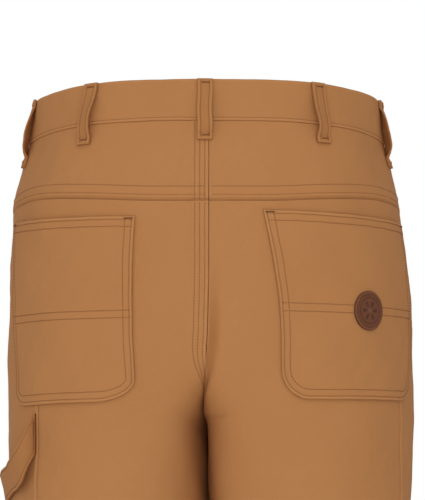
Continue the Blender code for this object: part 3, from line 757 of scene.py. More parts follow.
def pucker(level, distance):
    """Short ripples along a sewn seam, which die out within a few millimetres."""
    ripple = np.sin(level * 610 + 2.1 * np.sin(level * 173)) * (0.6 + 0.4 * np.sin(level * 67))
    return 0.13 * MM * ripple * bell(distance, 9 * MM)


def yoke_edge(share):
    """The level of the yoke's lower edge at a share of the way to the side."""
    return YOKE_LEVEL + smooth_between(YOKE_RISE, "rise", share)


def back_grid(side, level, share):
    """The girth and height of the back panel at a level and a share of its width."""
    seam = body.outseam(side, level) - SEAM_GAP / 2
    low, high = (body.even_share(side, level, edge) for edge in (SEAM_GAP / 2, seam))
    girth = body.girth_at(side, level, low + (high - low) * share)
    height = fell_height(side, level, girth) + plain_seam(seam - girth)
    height -= rounded(girth, EDGE_RADIUS)
    height += pucker(level, seam - girth) + pucker(level + 0.3, girth)
    for row in HEM_ROWS:
        height -= trough(level - HEM_LEVEL - row)
    return girth, height


def hem_thickness(level):
    """Cloth is doubled at the hem."""
    top = HEM_LEVEL + HEM_HEIGHT
    return CLOTH + (HEM_CLOTH - CLOTH) * (1 - ramp(top - 1 * MM, top, level))


def wear_and_groove_shade(edge_distance, strength=0.5):
    """Wear and painted shade for the finish: paler where an edge stands proud, partly wear and partly painted
    highlight, and painted shade where a row or a seam is pressed in.
    """
    rubbed_and_highlight = strength * bell(edge_distance - 1.2 * MM, 0.9 * MM)
    groove_shade = 0.9 * bell(edge_distance, 0.45 * MM)
    return rubbed_and_highlight - groove_shade


# %% Yokes, backs and fronts


def make_yoke(word, side):
    """Make a yoke: level = top - t * (top - edge), and its last rows lie over the back panel."""
    near_edge = [0.0, YOKE_ROWS[0], YOKE_ROWS[1], YOKE_LAP_WIDTH]
    top = WAIST_BOTTOM - SEAM_GAP / 2
    drop = top - YOKE_LEVEL
    down = 1 - spread(drop, 4 * MM, near_edge)[::-1] / drop
    width = float(body.outseam(side, YOKE_LEVEL))
    shares = spread(width, 5 * MM, [0.0, *FELL_ROWS, FELL_WIDTH, width], reach=3 * MM) / width
    share = shares[None, :]
    edge = yoke_edge(share)
    level = edge + (top - edge) * down[::-1][:, None]
    seam = body.outseam(side, level) - SEAM_GAP / 2
    girth = SEAM_GAP / 2 + (seam - SEAM_GAP / 2) * share
    above = level - edge
    height = yoke_height(above)
    for row in YOKE_ROWS:
        height = height - trough(above - row)
    height = height + fell_height(side, level, girth) + plain_seam(seam - girth)
    height = height - rounded(above, EDGE_RADIUS) - rounded(girth, EDGE_RADIUS) + pucker(girth, above)
    wear = wear_and_groove_shade(above) + (wear_and_groove_shade(girth, 0.4) if side == LEFT else 0.0)
    outer = body.off(level, side * girth, height)
    inner = body.off(level, side * girth, np.minimum(height - CLOTH, YOKE_LAP_HEIGHT - CLOTH))
    return cloth(f"yoke_{word}", outer, inner, DUCK_FINISH, wear)


def make_back(word, side):
    """Make a back panel, from the yoke's edge down to the hem."""
    drop = YOKE_LEVEL - HEM_LEVEL
    down = spread(drop, 6 * MM, [0.0, drop - HEM_HEIGHT, drop - HEM_ROWS[0], drop], reach=5 * MM) / drop
    width = float(body.outseam(side, YOKE_LEVEL))
    shares = spread(width, 5 * MM, [0.0, *FELL_ROWS, FELL_WIDTH, width], reach=3 * MM) / width
    share = shares[None, :]
    top = yoke_edge(share) - SEAM_GAP / 2
    level = top + (HEM_LEVEL - top) * down[:, None]
    girth, height = back_grid(side, level, share)
    wear = wear_and_groove_shade(body.outseam(side, level) - girth, 0.35)
    if side == LEFT:
        wear = wear + wear_and_groove_shade(girth, 0.4) * ramp(CROTCH_LEVEL, FELL_END_LEVEL, level)
    else:
        # Painted shade in the furrow to the right of the centre back seam.
        wear = wear - 0.9 * valley(level, girth)
    outer = body.off(level, side * girth, height)
    inner = body.off(level, side * girth, np.minimum(height, 0.0) - hem_thickness(level))
    return cloth(f"back_{word}", outer, inner, DUCK_FINISH, wear)


SCOOP_WIDTH = 0.058
SCOOP_BOTTOM = -0.125
SCOOP_UNDERLAP = 0.014
SCOOP_FOLD = 0.6 * MM
FACING_BOTTOM = -0.132
FACING_DEPTH = -2.6 * MM
SCOOP_ROWS = (3.0 * MM, 9.0 * MM)


def scoop(side, level):
    """The front panel's outer edge: the seam, or a quarter ellipse that opens the pocket's mouth."""
    down = np.clip((WAIST_BOTTOM - level) / (WAIST_BOTTOM - SCOOP_BOTTOM), 0.0, 1.0)
    mouth = SCOOP_WIDTH * np.sqrt(1 - down**2)
    return body.outseam(side, level) + mouth


def make_front(word, side):
    """Make a front panel, from the waistband down to the hem, with its scooped pocket mouth."""
    drop = WAIST_BOTTOM - SEAM_GAP / 2 - HEM_LEVEL
    mouth = WAIST_BOTTOM - SCOOP_BOTTOM
    near_rows = [0.0, mouth, drop - HEM_HEIGHT, drop - HEM_ROWS[0], drop]
    level = (WAIST_BOTTOM - SEAM_GAP / 2 - spread(drop, 6 * MM, near_rows, reach=6 * MM))[:, None]
    width = float(body.half(side, YOKE_LEVEL) - body.outseam(side, YOKE_LEVEL))
    near_columns = [0.0, *SCOOP_ROWS, *(width - row for row in INSEAM_ROWS), width]
    share = (spread(width, 5 * MM, near_columns, reach=3 * MM) / width)[None, :]
    low = scoop(side, level) + SEAM_GAP / 2
    high = body.half(side, level) - SEAM_GAP / 2
    low_share, high_share = (body.even_share(side, level, edge) for edge in (low, high))
    girth = body.girth_at(side, level, low_share + (high_share - low_share) * share)
    in_mouth = ramp(SCOOP_BOTTOM - 2 * MM, SCOOP_BOTTOM + 2 * MM, level)
    below_crotch = 1 - ramp(CROTCH_LEVEL, FELL_END_LEVEL, level)
    from_edge = girth - low
    folded = (SCOOP_FOLD - rounded(from_edge, EDGE_RADIUS)) * in_mouth
    folded = folded * (1 - ramp(11 * MM, 14 * MM, from_edge))
    height = plain_seam(from_edge) * (1 - in_mouth) + folded
    for row in SCOOP_ROWS:
        height = height - trough(from_edge - row) * in_mouth
    for row in INSEAM_ROWS:
        height = height - trough(high - girth - row) * below_crotch
    for row in HEM_ROWS:
        height = height - trough(level - HEM_LEVEL - row)
    height = height - rounded(high - girth, EDGE_RADIUS) + pucker(level, from_edge)
    wear = wear_and_groove_shade(from_edge, 0.5)
    outer = body.off(level, side * girth, height)
    inner = body.off(level, side * girth, np.minimum(height, 0.0) - hem_thickness(level))
    return cloth(f"front_{word}", outer, inner, DUCK_FINISH, wear)


def make_facing(word, side):
    """Make the facing that shows in the pocket's mouth, tucked under the front panel."""
    level = np.linspace(WAIST_BOTTOM - SEAM_GAP / 2, FACING_BOTTOM, 40)[:, None]
    low = body.outseam(side, level) + SEAM_GAP / 2
    girth = low + (scoop(side, level) + SCOOP_UNDERLAP - low) * np.linspace(0, 1, 26)[None, :]
    outer = body.off(level, side * girth, FACING_DEPTH)
    inner = body.off(level, side * girth, FACING_DEPTH - CLOTH)
    return cloth(f"pocket_facing_{word}", outer, inner, DUCK_FINISH)


for word, side in SIDES.items():
    make_yoke(word, side)
    make_back(word, side)
    make_front(word, side)
    make_facing(word, side)

# %% [markdown]
# ## Waistband
#
# The waistband is one strip folded over the top of the panels. It starts under the overlap at the front,
# goes round the back, and ends in a short tab that carries the buttonhole. It is the thickest part of the
# garment, so its edges are rounder, and one row of stitches holds it down along its lower edge.

# %% Waistband
BAND_CLOTH = 2.5 * MM
BAND_PROUD = 1.0 * MM
BAND_OVERLAP = 10.5 * MM
BAND_UNDERLAP = 30 * MM
BAND_STEP_START = 36 * MM
BAND_STEP_END = 14 * MM
BAND_ROWS = (3.0 * MM,)
BAND_HALF = float(body.half(LEFT, 0.0))


def band_way(level, way):
    """Scale a way at the waist to another level, so that the strip's columns stand upright."""
    side_half = np.where(way >= 0, body.half(LEFT, level), body.half(RIGHT, level))
    return way * side_half / BAND_HALF


def band_stand(way):
    """How proud the band stands: less toward its right end, which is tucked under the left one."""
    step = ramp(BAND_HALF - BAND_STEP_START, BAND_HALF - BAND_STEP_END, np.abs(way))
    return BAND_PROUD - (BAND_CLOTH + SEAM_GAP) * np.where(way < 0, step, 0.0)


def band_height(above, way):
    """The band's height over the surface, pressed in by its row of stitches and rounded at its edges."""
    height = band_stand(way)
    for row in BAND_ROWS:
        height = height - trough(above - row, 0.9 * MM, 0.15 * MM)
    tall = WAIST_TOP - WAIST_BOTTOM
    height = height - rounded(above, 1.0 * MM) - rounded(tall - above, 1.2 * MM)
    puckers = 0.16 * MM * np.sin(way * 520 + 1.7 * np.sin(way * 140)) * (0.5 + 0.5 * np.sin(way * 61))
    return height + puckers * (bell(above - 4 * MM, 7 * MM) + 0.6 * bell(tall - above - 4 * MM, 7 * MM))


def make_waistband():
    """Make the waistband as one wall, a column for each step round the waist."""
    tall = WAIST_TOP - WAIST_BOTTOM
    above = spread(tall, 3 * MM, [0.0, *BAND_ROWS, tall], reach=2.5 * MM)[None, :]
    start, end = -(BAND_HALF + BAND_UNDERLAP), BAND_HALF + BAND_OVERLAP
    way = (start + spread(end - start, 4 * MM, [end - start]))[:, None]
    level = WAIST_BOTTOM + above
    height = band_height(above, way)
    outer = body.off(level, band_way(level, way), height)
    inner = body.off(level, band_way(level, way), band_stand(way) - BAND_CLOTH + 0 * above)
    wear = wear_and_groove_shade(above, 0.45) + wear_and_groove_shade(tall - above, 0.5)
    return cloth("waistband", outer, inner, DUCK_FINISH, wear + 0 * way)


make_waistband()

# %% [markdown]
# ## Patch pockets
#
# A patch pocket is a flat piece with its edges turned under, laid on the panel and sewn round three sides.
# It is described in its own plane, by a distance across and a distance down, and then laid on the surface
# through its four corners. That keeps its rows parallel to its edges, however the seat curves.

# %% Pockets
Pocket = namedtuple(
    "Pocket", "name side top_inner top_outer bottom_inner bottom_outer inner_corner outer_corner middle under"
)
POCKETS = (
    Pocket(
        "back_pocket_left", LEFT, (0.188, -0.097), (0.024, -0.095), (0.199, -0.269), (0.056, -0.271),
        inner_corner=(0.046, 0.022), outer_corner=(0.020, 0.018), middle=(0.0880, 0.0948), under="back_left",
    ),
    Pocket(
        "back_pocket_right", RIGHT, (0.203, -0.091), (0.018, -0.096), (0.199, -0.267), (0.042, -0.265),
        inner_corner=(0.032, 0.028), outer_corner=(0.028, 0.015), middle=(0.0870, 0.0944), under="back_right",
    ),
    Pocket(
        "tool_pocket", RIGHT, (0.132, -0.425), (0.050, -0.425), (0.118, -0.620), (0.036, -0.620),
        inner_corner=(0.006, 0.006), outer_corner=(0.006, 0.006), middle=(), under="back_right",
    ),
)
POCKET_LAID_ON = 0.8 * MM
POCKET_EDGE_ROWS = (3.2 * MM, 9.3 * MM)
POCKET_HEM_ROWS = (3.4 * MM, 9.9 * MM)


def pocket_width(pocket):
    return pocket.top_inner[0] - pocket.top_outer[0]


def pocket_depth(pocket, across, row=0.0):
    """How far down the lower edge lies, or a row of stitches inside it. Each corner is a quarter ellipse,
    which rises b - b * sqrt(1 - (s / a)^2) at a distance s into its width a."""
    depth = pocket.top_inner[1] - pocket.bottom_inner[1] - row
    for (wide, tall), edge in (
        (pocket.inner_corner, across), (pocket.outer_corner, pocket_width(pocket) - across),
    ):
        wide, tall = max(wide - row, 1 * MM), max(tall - row, 1 * MM)
        into = np.clip((wide + row - edge) / wide, 0, 1)
        depth = depth - tall * (1 - np.sqrt(1 - into**2))
    return depth


def pocket_spot(pocket, across, down):
    """The level and girth of a place in the pocket's own plane, across from its inner top corner."""
    share = across / pocket_width(pocket)
    height = pocket.top_inner[1] - pocket.bottom_inner[1]
    t = down / height
    corners = (pocket.top_inner, pocket.top_outer, pocket.bottom_inner, pocket.bottom_outer)
    top_inner, top_outer, bottom_inner, bottom_outer = (np.array(corner) for corner in corners)
    share, t = np.broadcast_arrays(np.asarray(share, float), np.asarray(t, float))
    high = top_inner + (top_outer - top_inner) * share[..., None]
    low = bottom_inner + (bottom_outer - bottom_inner) * share[..., None]
    spot = high + (low - high) * t[..., None]
    return spot[..., 1], body.side_line(pocket.side, spot[..., 1]) - spot[..., 0]


def pocket_height(pocket, across, down):
    """The pocket's outer height: cloth on cloth, thicker where it is turned under, pressed by its rows."""
    width = pocket_width(pocket)
    share = np.clip(across / width, 0, 1)
    side_edge = np.minimum(across, width - across)
    low_edge = pocket_depth(pocket, across) - down
    edge = np.minimum(side_edge, low_edge)
    height = POCKET_LAID_ON + CLOTH + 0.5 * MM * (1 - ramp(11 * MM, 13.5 * MM, np.minimum(edge, down)))
    for row in POCKET_EDGE_ROWS:
        height = height - trough(edge - row)
    for row in POCKET_HEM_ROWS:
        height = height - trough(down - row)
    for row in pocket.middle:
        height = height - trough(down - row)
    slack = 0.9 * MM * np.sin(np.pi * share) * bell(down, 26 * MM)
    ripple = 0.12 * MM * np.sin(down * 560 + 3 * share) * bell(side_edge, 9 * MM)
    height = height + slack + ripple - rounded(edge, 0.8 * MM) - rounded(down, 0.8 * MM)
    return height, edge


def make_pocket(pocket):
    """Make a pocket as a wall laid over its panel."""
    width = pocket_width(pocket)
    near_columns = [0.0, *POCKET_EDGE_ROWS, *(width - row for row in POCKET_EDGE_ROWS), width]
    share = (spread(width, 4 * MM, near_columns, reach=2.5 * MM) / width)[None, :]
    depth = pocket_depth(pocket, width / 2)
    near_rows = [0.0, *POCKET_HEM_ROWS, *pocket.middle, *(depth - row for row in POCKET_EDGE_ROWS), depth]
    rows = spread(depth, 4 * MM, near_rows, reach=2.5 * MM) / depth
    across = width * share + 0 * rows[:, None]
    down = rows[:, None] * pocket_depth(pocket, width * share)
    level, girth = pocket_spot(pocket, across, down)
    height, edge = pocket_height(pocket, across, down)
    outer = body.off(level, pocket.side * girth, height)
    inner = body.off(level, pocket.side * girth, POCKET_LAID_ON)
    wear = wear_and_groove_shade(np.maximum(edge, 0), 0.5) + wear_and_groove_shade(down, 0.6)
    return cloth(pocket.name, outer, inner, DUCK_FINISH, wear)


for pocket in POCKETS:
    make_pocket(pocket)

# %% [markdown]
# ## Belt loops
#
# Each belt loop is a folded strap, sewn down at both ends with a bar tack and standing off between them,
# so that a belt goes under it. The strap's path is a short table of heights over the surface, and the strap
# is that path with a width.

# %% Belt loops
LoopRow = namedtuple("LoopRow", "level stand thickness")
LOOP_ROWS = (
    LoopRow(0.0195, 0.0014, 0.0030),
    LoopRow(0.0135, 0.0014, 0.0030),
    LoopRow(0.0085, 0.0036, 0.0022),
    LoopRow(0.0020, 0.0060, 0.0018),
    LoopRow(-0.0070, 0.0082, 0.0018),
    LoopRow(-0.0160, 0.0094, 0.0018),
    LoopRow(-0.0240, 0.0088, 0.0018),
    LoopRow(-0.0305, 0.0052, 0.0022),
    LoopRow(-0.0355, 0.0005, 0.0030),
    LoopRow(-0.0425, 0.0005, 0.0030),
)
LOOP_WIDTH = 14.5 * MM
LOOP_SEWN = 2 * MM
LOOP_ROW_INSET = 3.5 * MM
LOOP_SHADE = 0.45
LOOP_TUCK = 1.3 * MM
LOOP_TWIST = 0.45
LOOP_SIDE_TWIST = 1.0
Loop = namedtuple("Loop", "name side girth lean foot stand")
LOOPS = (
    Loop("belt_loop_back_centre", LEFT, 0.0036, 0.000, -0.0362, 0.85),
    Loop("belt_loop_back_left", LEFT, 0.1135, 0.002, -0.0368, 0.92),
    Loop("belt_loop_back_right", RIGHT, 0.1045, 0.002, -0.0360, 0.92),
    Loop("belt_loop_side_left", LEFT, 0.2080, 0.003, -0.0425, 1.00),
    Loop("belt_loop_side_right", RIGHT, 0.2080, 0.003, -0.0425, 1.00),
    Loop("belt_loop_front_left", LEFT, 0.3470, -0.004, -0.0365, 0.92),
    Loop("belt_loop_front_right", RIGHT, 0.3470, -0.004, -0.0365, 0.92),
)
STRAPS = {}


def loop_path(loop, samples=90):
    """Follow the strap's table from top to bottom: the level, way, stand and thickness at each sample."""
    shorter = (WAIST_BOTTOM - loop.foot) / (WAIST_BOTTOM - LOOP_ROWS[-1].level)
    index = np.arange(len(LOOP_ROWS))
    level = np.array([row.level for row in LOOP_ROWS])
    level = np.where(level < WAIST_BOTTOM, WAIST_BOTTOM - (WAIST_BOTTOM - level) * shorter, level)
    stand = np.array([row.stand * (loop.stand if row.stand > LOOP_SEWN else 1) for row in LOOP_ROWS])
    keyed = namedtuple("Keyed", "index level stand thickness")
    table = [keyed(*values) for values in zip(index, level, stand, [row.thickness for row in LOOP_ROWS])]
    at = np.linspace(0, len(table) - 1, samples)
    level, stand, thickness = (smooth_between(table, name, at) for name in ("level", "stand", "thickness"))
    down = (WAIST_TOP - level) / (WAIST_TOP - loop.foot)
    girth = loop.girth * body.half(loop.side, level) / body.half(loop.side, 0.0) + loop.lean * down
    return level, loop.side * girth, stand, thickness


def strap(level, way, stand):
    """Follow a path: its points, the strap's face, sideways and lengthwise directions, and the body's own."""
    middle = body.off(level, way, stand)
    out = body.off(level, way, stand + 1 * MM) - middle
    out /= np.linalg.norm(out, axis=1, keepdims=True)
    over = body.off(level, way + 2 * MM, stand) - middle
    over -= out * np.sum(over * out, axis=1, keepdims=True)
    over /= np.linalg.norm(over, axis=1, keepdims=True)
    along = np.gradient(middle, axis=0)
    along /= np.linalg.norm(along, axis=1, keepdims=True)
    face = np.cross(over, along)
    face *= np.sign(np.sum(face * out, axis=1, keepdims=True))
    return middle, face, over, along, out


def loop_twist(loop):
    """How far a strap's outer edge lies down to the band: almost wholly at the sides, a little elsewhere."""
    return LOOP_SIDE_TWIST if "side" in loop.name else LOOP_TWIST


def make_loop(loop):
    """Make one belt loop. Its edge toward the centre stands off, and its outer edge lies nearer the band."""
    level, way, stand, thickness = loop_path(loop)
    middle, face, over, along, out = strap(level, way, stand)
    half = LOOP_WIDTH / 2
    near = [0, LOOP_ROW_INSET, LOOP_WIDTH - LOOP_ROW_INSET, LOOP_WIDTH]
    across = spread(LOOP_WIDTH, 1.6 * MM, near, fine=0.3 * MM, reach=1.2 * MM)
    edge = np.minimum(across, LOOP_WIDTH - across)
    relief = -rounded(edge, 0.7 * MM) - trough(edge - LOOP_ROW_INSET, 0.7 * MM, 0.2 * MM)
    top = thickness[:, None] + relief[None, :]
    offset = (across - half)[None, :, None]
    far = across / LOOP_WIDTH if loop.side == LEFT else 1 - across / LOOP_WIDTH
    tuck = LOOP_TUCK * ramp(WAIST_BOTTOM, WAIST_BOTTOM - 4 * MM, level) if "side" in loop.name else 0 * level
    lift = ((stand - stand.min()) * loop_twist(loop) + tuck)[:, None] * far[None, :]
    base = middle[:, None, :] + over[:, None, :] * offset - out[:, None, :] * lift[..., None]
    outer = base + face[:, None, :] * top[..., None]
    wear = np.broadcast_to(wear_and_groove_shade(edge, 0.6)[None, :] - LOOP_SHADE, top.shape)
    STRAPS[loop.name] = (outer, face, over, along, across)
    return cloth(loop.name, outer, base, DUCK_FINISH, wear)


for loop in LOOPS:
    make_loop(loop)

# %% [markdown]
# ## Hammer loop
#
# The hammer loop is a wide doubled strap. It leaves the outer seam just under the left back pocket, twists
# out, and runs forward round the leg to the front. Its two edges have their own paths, and the strap is the
# surface drawn between them.

# %% Hammer loop
HammerRow = namedtuple("HammerRow", "high_forward high_level high_stand low_forward low_level low_stand")
HAMMER_ROWS = (
    HammerRow(0.0015, -0.2785, 0.0010, 0.0015, -0.3165, 0.0010),
    HammerRow(0.0020, -0.2825, 0.0035, 0.0020, -0.3200, 0.0030),
    HammerRow(0.0036, -0.2885, 0.0070, 0.0034, -0.3260, 0.0058),
    HammerRow(0.0072, -0.2990, 0.0105, 0.0062, -0.3360, 0.0080),
    HammerRow(0.0150, -0.3110, 0.0125, 0.0115, -0.3435, 0.0085),
    HammerRow(0.0280, -0.3210, 0.0120, 0.0210, -0.3475, 0.0070),
    HammerRow(0.0450, -0.3270, 0.0090, 0.0360, -0.3510, 0.0040),
    HammerRow(0.0680, -0.3310, 0.0066, 0.0560, -0.3555, 0.0018),
    HammerRow(0.0940, -0.3340, 0.0056, 0.0820, -0.3610, 0.0010),
    HammerRow(0.1160, -0.3360, 0.0035, 0.1060, -0.3670, 0.0010),
    HammerRow(0.1320, -0.3370, 0.0010, 0.1240, -0.3715, 0.0010),
    HammerRow(0.1430, -0.3375, 0.0010, 0.1360, -0.3745, 0.0010),
)
HAMMER_CLOTH = 2.4 * MM
HAMMER_WIDTH = 31 * MM
HAMMER_ROW_INSET = 3.0 * MM


def hammer_spot(at, across):
    """The level, way and stand at a place along the strap and a share across it, from its high edge."""
    keyed = namedtuple("Keyed", ("share",) + HammerRow._fields)
    table = [keyed(index / (len(HAMMER_ROWS) - 1), *row) for index, row in enumerate(HAMMER_ROWS)]
    high, low = (
        [smooth_between(table, f"{edge}_{part}", at) for part in ("forward", "level", "stand")]
        for edge in ("high", "low")
    )
    forward, level, stand = (one + (other - one) * across for one, other in zip(high, low))
    return level, body.outseam(LEFT, level) + forward, stand


def make_hammer_loop():
    """Make the hammer loop."""
    at = np.linspace(0, 1, 190)[:, None]
    near = [0, HAMMER_ROW_INSET, HAMMER_WIDTH - HAMMER_ROW_INSET, HAMMER_WIDTH]
    distance = spread(HAMMER_WIDTH, 2.5 * MM, near, fine=0.35 * MM, reach=1.6 * MM)
    across = (distance / HAMMER_WIDTH)[None, :]
    edge = np.minimum(distance, HAMMER_WIDTH - distance)[None, :]
    relief = -rounded(edge, 0.9 * MM) - trough(edge - HAMMER_ROW_INSET, 0.8 * MM, 0.22 * MM)
    level, way, stand = hammer_spot(at, across)
    outer = body.off(level, way, stand + HAMMER_CLOTH + relief)
    inner = body.off(level, way, stand)
    # The whole strap is a tone darker, and painted shade darkens it further near its root at the seam.
    wear = wear_and_groove_shade(edge, 0.6) - 0.4 - 0.6 * bell(at, 0.16)
    return cloth("hammer_loop", outer, inner, DUCK_FINISH, wear)


make_hammer_loop()

# %% [markdown]
# ## Fly
#
# The left front is folded back at the fly and laps over the right. Only the flat fold and its curved rows
# of stitches show, because the closed zip lies behind it.

# %% Fly
FLY_WIDTH = 38 * MM
FLY_OVER = 6 * MM
FLY_BOTTOM = -0.180
FLY_CURVE = 30 * MM
FLY_TIP = 10 * MM
FLY_CLOTH = 1.3 * MM
FLY_LAID_ON = 0.5 * MM


def fly_reach(level):
    """How far the fly reaches to the wearer's left: full, and a quarter ellipse near its foot."""
    rise = np.clip((level - FLY_BOTTOM) / FLY_CURVE, 0.0, 1.0)
    return FLY_TIP + (FLY_WIDTH - FLY_TIP) * np.sqrt(1 - (1 - rise) ** 2)


def make_fly():
    """Make the fly as a flat wall over the front panels."""
    drop = WAIST_BOTTOM - FLY_BOTTOM
    level = (WAIST_BOTTOM - SEAM_GAP / 2 - spread(drop - SEAM_GAP / 2, 3 * MM, [drop]))[:, None]
    reach = fly_reach(level)
    wide = FLY_WIDTH + FLY_OVER
    share = (spread(wide, 3 * MM, [0, wide]) / wide)[None, :]
    from_middle = -FLY_OVER + (reach + FLY_OVER) * share
    half = np.where(from_middle >= 0, body.half(LEFT, level), body.half(RIGHT, level))
    way = np.where(from_middle >= 0, half - from_middle, -(half + from_middle))
    edge = from_middle + FLY_OVER
    thick = FLY_LAID_ON + FLY_CLOTH - rounded(edge, 0.7 * MM)
    thick = thick - (FLY_CLOTH - 0.3 * MM) * ramp(0.0, 1.0, share) * bell(reach - from_middle, 3 * MM)
    outer = body.off(level, way, thick)
    inner = body.off(level, way, FLY_LAID_ON)
    return cloth("fly", outer, inner, DUCK_FINISH, wear_and_groove_shade(edge, 0.5))


make_fly()

# %% [markdown]
# ## Leather patch and button
#
# A round leather patch is sewn on the right back pocket. Its face is pressed with a plain rosette. The
# disc is a square grid drawn into a circle, x = u * sqrt(1 - v^2 / 2) and the same for y, which has no
# pole in its middle. The button is a turned profile, carried round its axis.

# %% Patch
PATCH_CENTRE = (0.1095, -0.183)
PATCH_RADIUS = 18.5 * MM
PATCH_CLOTH = 1.4 * MM
PATCH_BASE = POCKET_LAID_ON + CLOTH + 0.5 * MM
PATCH_ROW = 0.84 * PATCH_RADIUS
PATCH_PETALS = 6


def leather_finish():
    """Oiled leather: a pebbled grain, darker where the press has burnt it, paler on its rubbed rim."""
    leather = Finish("leather", 0.52)
    pebble = leather.node("ShaderNodeTexVoronoi", {}, {"Vector": leather.place(), "Scale": 900.0})
    cloud = leather.noise(140.0, 3.0)
    wear = leather.wear()
    color = leather.mix(cloud, (0.108, 0.030, 0.011), (0.172, 0.056, 0.019))
    color = leather.mix((wear * -1.0).most(0.0), color, (0.050, 0.017, 0.011))
    color = leather.mix(wear.most(0.0) * 0.8, color, (0.250, 0.110, 0.055))
    grain = leather.bump(pebble + cloud * 0.6, 0.12 * MM, 0.5)
    return leather.use(Base_Color=color, Roughness=0.50 + cloud * 0.2, Specular_IOR_Level=0.25, Normal=grain)


def patch_relief(radius, turn):
    """The pressed face: a rim, a groove for the thread, a ring, and six petals round a boss."""
    r = radius / PATCH_RADIUS
    rim = 0.12 * MM * bell(r - 0.93, 0.05)
    groove = 0.22 * MM * bell(r - 0.84, 0.035)
    ring = 0.24 * MM * bell(r - 0.66, 0.03)
    petal = np.clip(np.cos(PATCH_PETALS * turn), 0, 1) ** 0.6
    flower = 0.26 * MM * petal * ramp(0.16, 0.24, r) * (1 - ramp(0.46, 0.54, r))
    boss = 0.20 * MM * bell(r, 0.09)
    return rim + boss - groove - ring - flower - rounded((1 - r) * PATCH_RADIUS, 0.7 * MM)


def make_patch():
    """Make the patch: two round grids over the pocket."""
    steps = np.linspace(-1, 1, 97)
    up, across = np.meshgrid(steps, steps, indexing="ij")
    y = PATCH_RADIUS * up * np.sqrt(1 - across**2 / 2)
    x = PATCH_RADIUS * across * np.sqrt(1 - up**2 / 2)
    behind, level = PATCH_CENTRE
    girth = body.side_line(RIGHT, level) - behind + x
    radius, turn = np.hypot(x, y), np.arctan2(y, x)
    relief = patch_relief(np.minimum(radius, PATCH_RADIUS), turn)
    outer = body.off(level + y, -girth, PATCH_BASE + PATCH_CLOTH + relief)
    inner = body.off(level + y, -girth, PATCH_BASE)
    wear = np.clip(relief / (0.30 * MM), -1, 0.6)
    made = wall("leather_patch", outer, inner, wear)
    made.data.materials.append(leather_finish())
    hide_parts("leather_patch")
    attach(made, "root")
    print("leather_patch:", round(flat_size(outer)[2] * 1e4, 2), "cm2")


make_patch()

# %% Button
BUTTON_RADIUS = 8.5 * MM
BUTTON_THICKNESS = 3.0 * MM
BUTTON_INSET = 4 * MM
# The button's profile from its axis outwards, in shares of its radius and its thickness.
BUTTON_PROFILE = (
    (0.0, 0.62), (0.22, 0.62), (0.30, 0.50), (0.66, 0.46), (0.76, 0.86),
    (0.86, 1.0), (0.95, 0.86), (1.0, 0.5), (0.94, 0.0), (0.0, 0.0),
)


def bronze_finish():
    """Aged brass, clouded in its colour and its roughness."""
    bronze = Finish("bronze", 0.38, 1.0)
    cloud = bronze.noise(420.0, 3.0)
    color = bronze.mix(cloud, (0.190, 0.115, 0.060), (0.390, 0.250, 0.135))
    grain = bronze.bump(cloud, 0.05 * MM, 0.4)
    return bronze.use(Base_Color=color, Roughness=0.28 + cloud * 0.3, Normal=grain)


def make_button():
    """Turn the profile: a point is centre + r (u cos a + v sin a) + h out."""
    way = BAND_HALF - BUTTON_INSET
    centre = body.off(0.0, band_way(0.0, way), BAND_PROUD + 0.5 * MM)
    out = body.off(0.0, band_way(0.0, way), BAND_PROUD + 1.5 * MM) - centre
    out /= np.linalg.norm(out)
    u = np.cross(out, [0.0, 0.0, 1.0])
    u /= np.linalg.norm(u)
    v = np.cross(out, u)
    profile = np.array(BUTTON_PROFILE)
    fine = np.linspace(0, len(profile) - 1, 46)
    r = np.interp(fine, np.arange(len(profile)), profile[:, 0]) * BUTTON_RADIUS
    h = np.interp(fine, np.arange(len(profile)), profile[:, 1]) * BUTTON_THICKNESS
    turn = np.linspace(0, 2 * np.pi, 49)[:-1]
    ring = u * np.cos(turn)[:, None] + v * np.sin(turn)[:, None]
    rings = centre + r[1:-1, None, None] * ring + h[1:-1, None, None] * out
    count = len(turn)
    index = np.arange(rings.shape[0] * count).reshape(-1, count)
    ahead = np.roll(index, -1, axis=1)
    quads = np.stack([index[:-1], ahead[:-1], ahead[1:], index[1:]], axis=2).reshape(-1, 4)
    top, bottom = index.size, index.size + 1
    caps = [np.stack([np.full(count, top), ahead[0], index[0]], axis=1)]
    caps.append(np.stack([np.full(count, bottom), index[-1], ahead[-1]], axis=1))
    ends = [centre + out * h[0], centre + out * h[-1]]
    vertices = np.concatenate([rings.reshape(-1, 3), ends])
    triangles = np.concatenate(caps)
    if signed_volume(vertices, quads) < 0:
        quads, triangles = quads[:, ::-1], triangles[:, ::-1]
    made = put_mesh("waist_button", vertices, quads, vertices[:, :2], triangles)
    made.data.materials.append(bronze_finish())
    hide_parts("waist_button")
    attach(made, "root")
    print("waist_button:", len(made.data.polygons), "faces")


make_button()

# %% [markdown]
# ## Topstitching
#
# The garment is held together by thread, in rows that run beside nearly every seam. A texture could fake
# them, but real stitches are small bars that stand in their own groove, and they read as thread from any
# side. Each is one low capsule of a few dozen faces, copied along a row by array maths: a stitch's points
# are its centre plus the capsule's points along, across and out of the row.

# %% Stitches
STITCH_PITCH = 2.75 * MM
STITCH_LENGTH = 1.40 * MM
THREAD_WIDTH = 1.00 * MM
THREAD_RISE = 0.42 * MM
TACK_THREAD_WIDTH = 0.62 * MM
TRIANGLES_A_STITCH = 48
STITCHES = {}


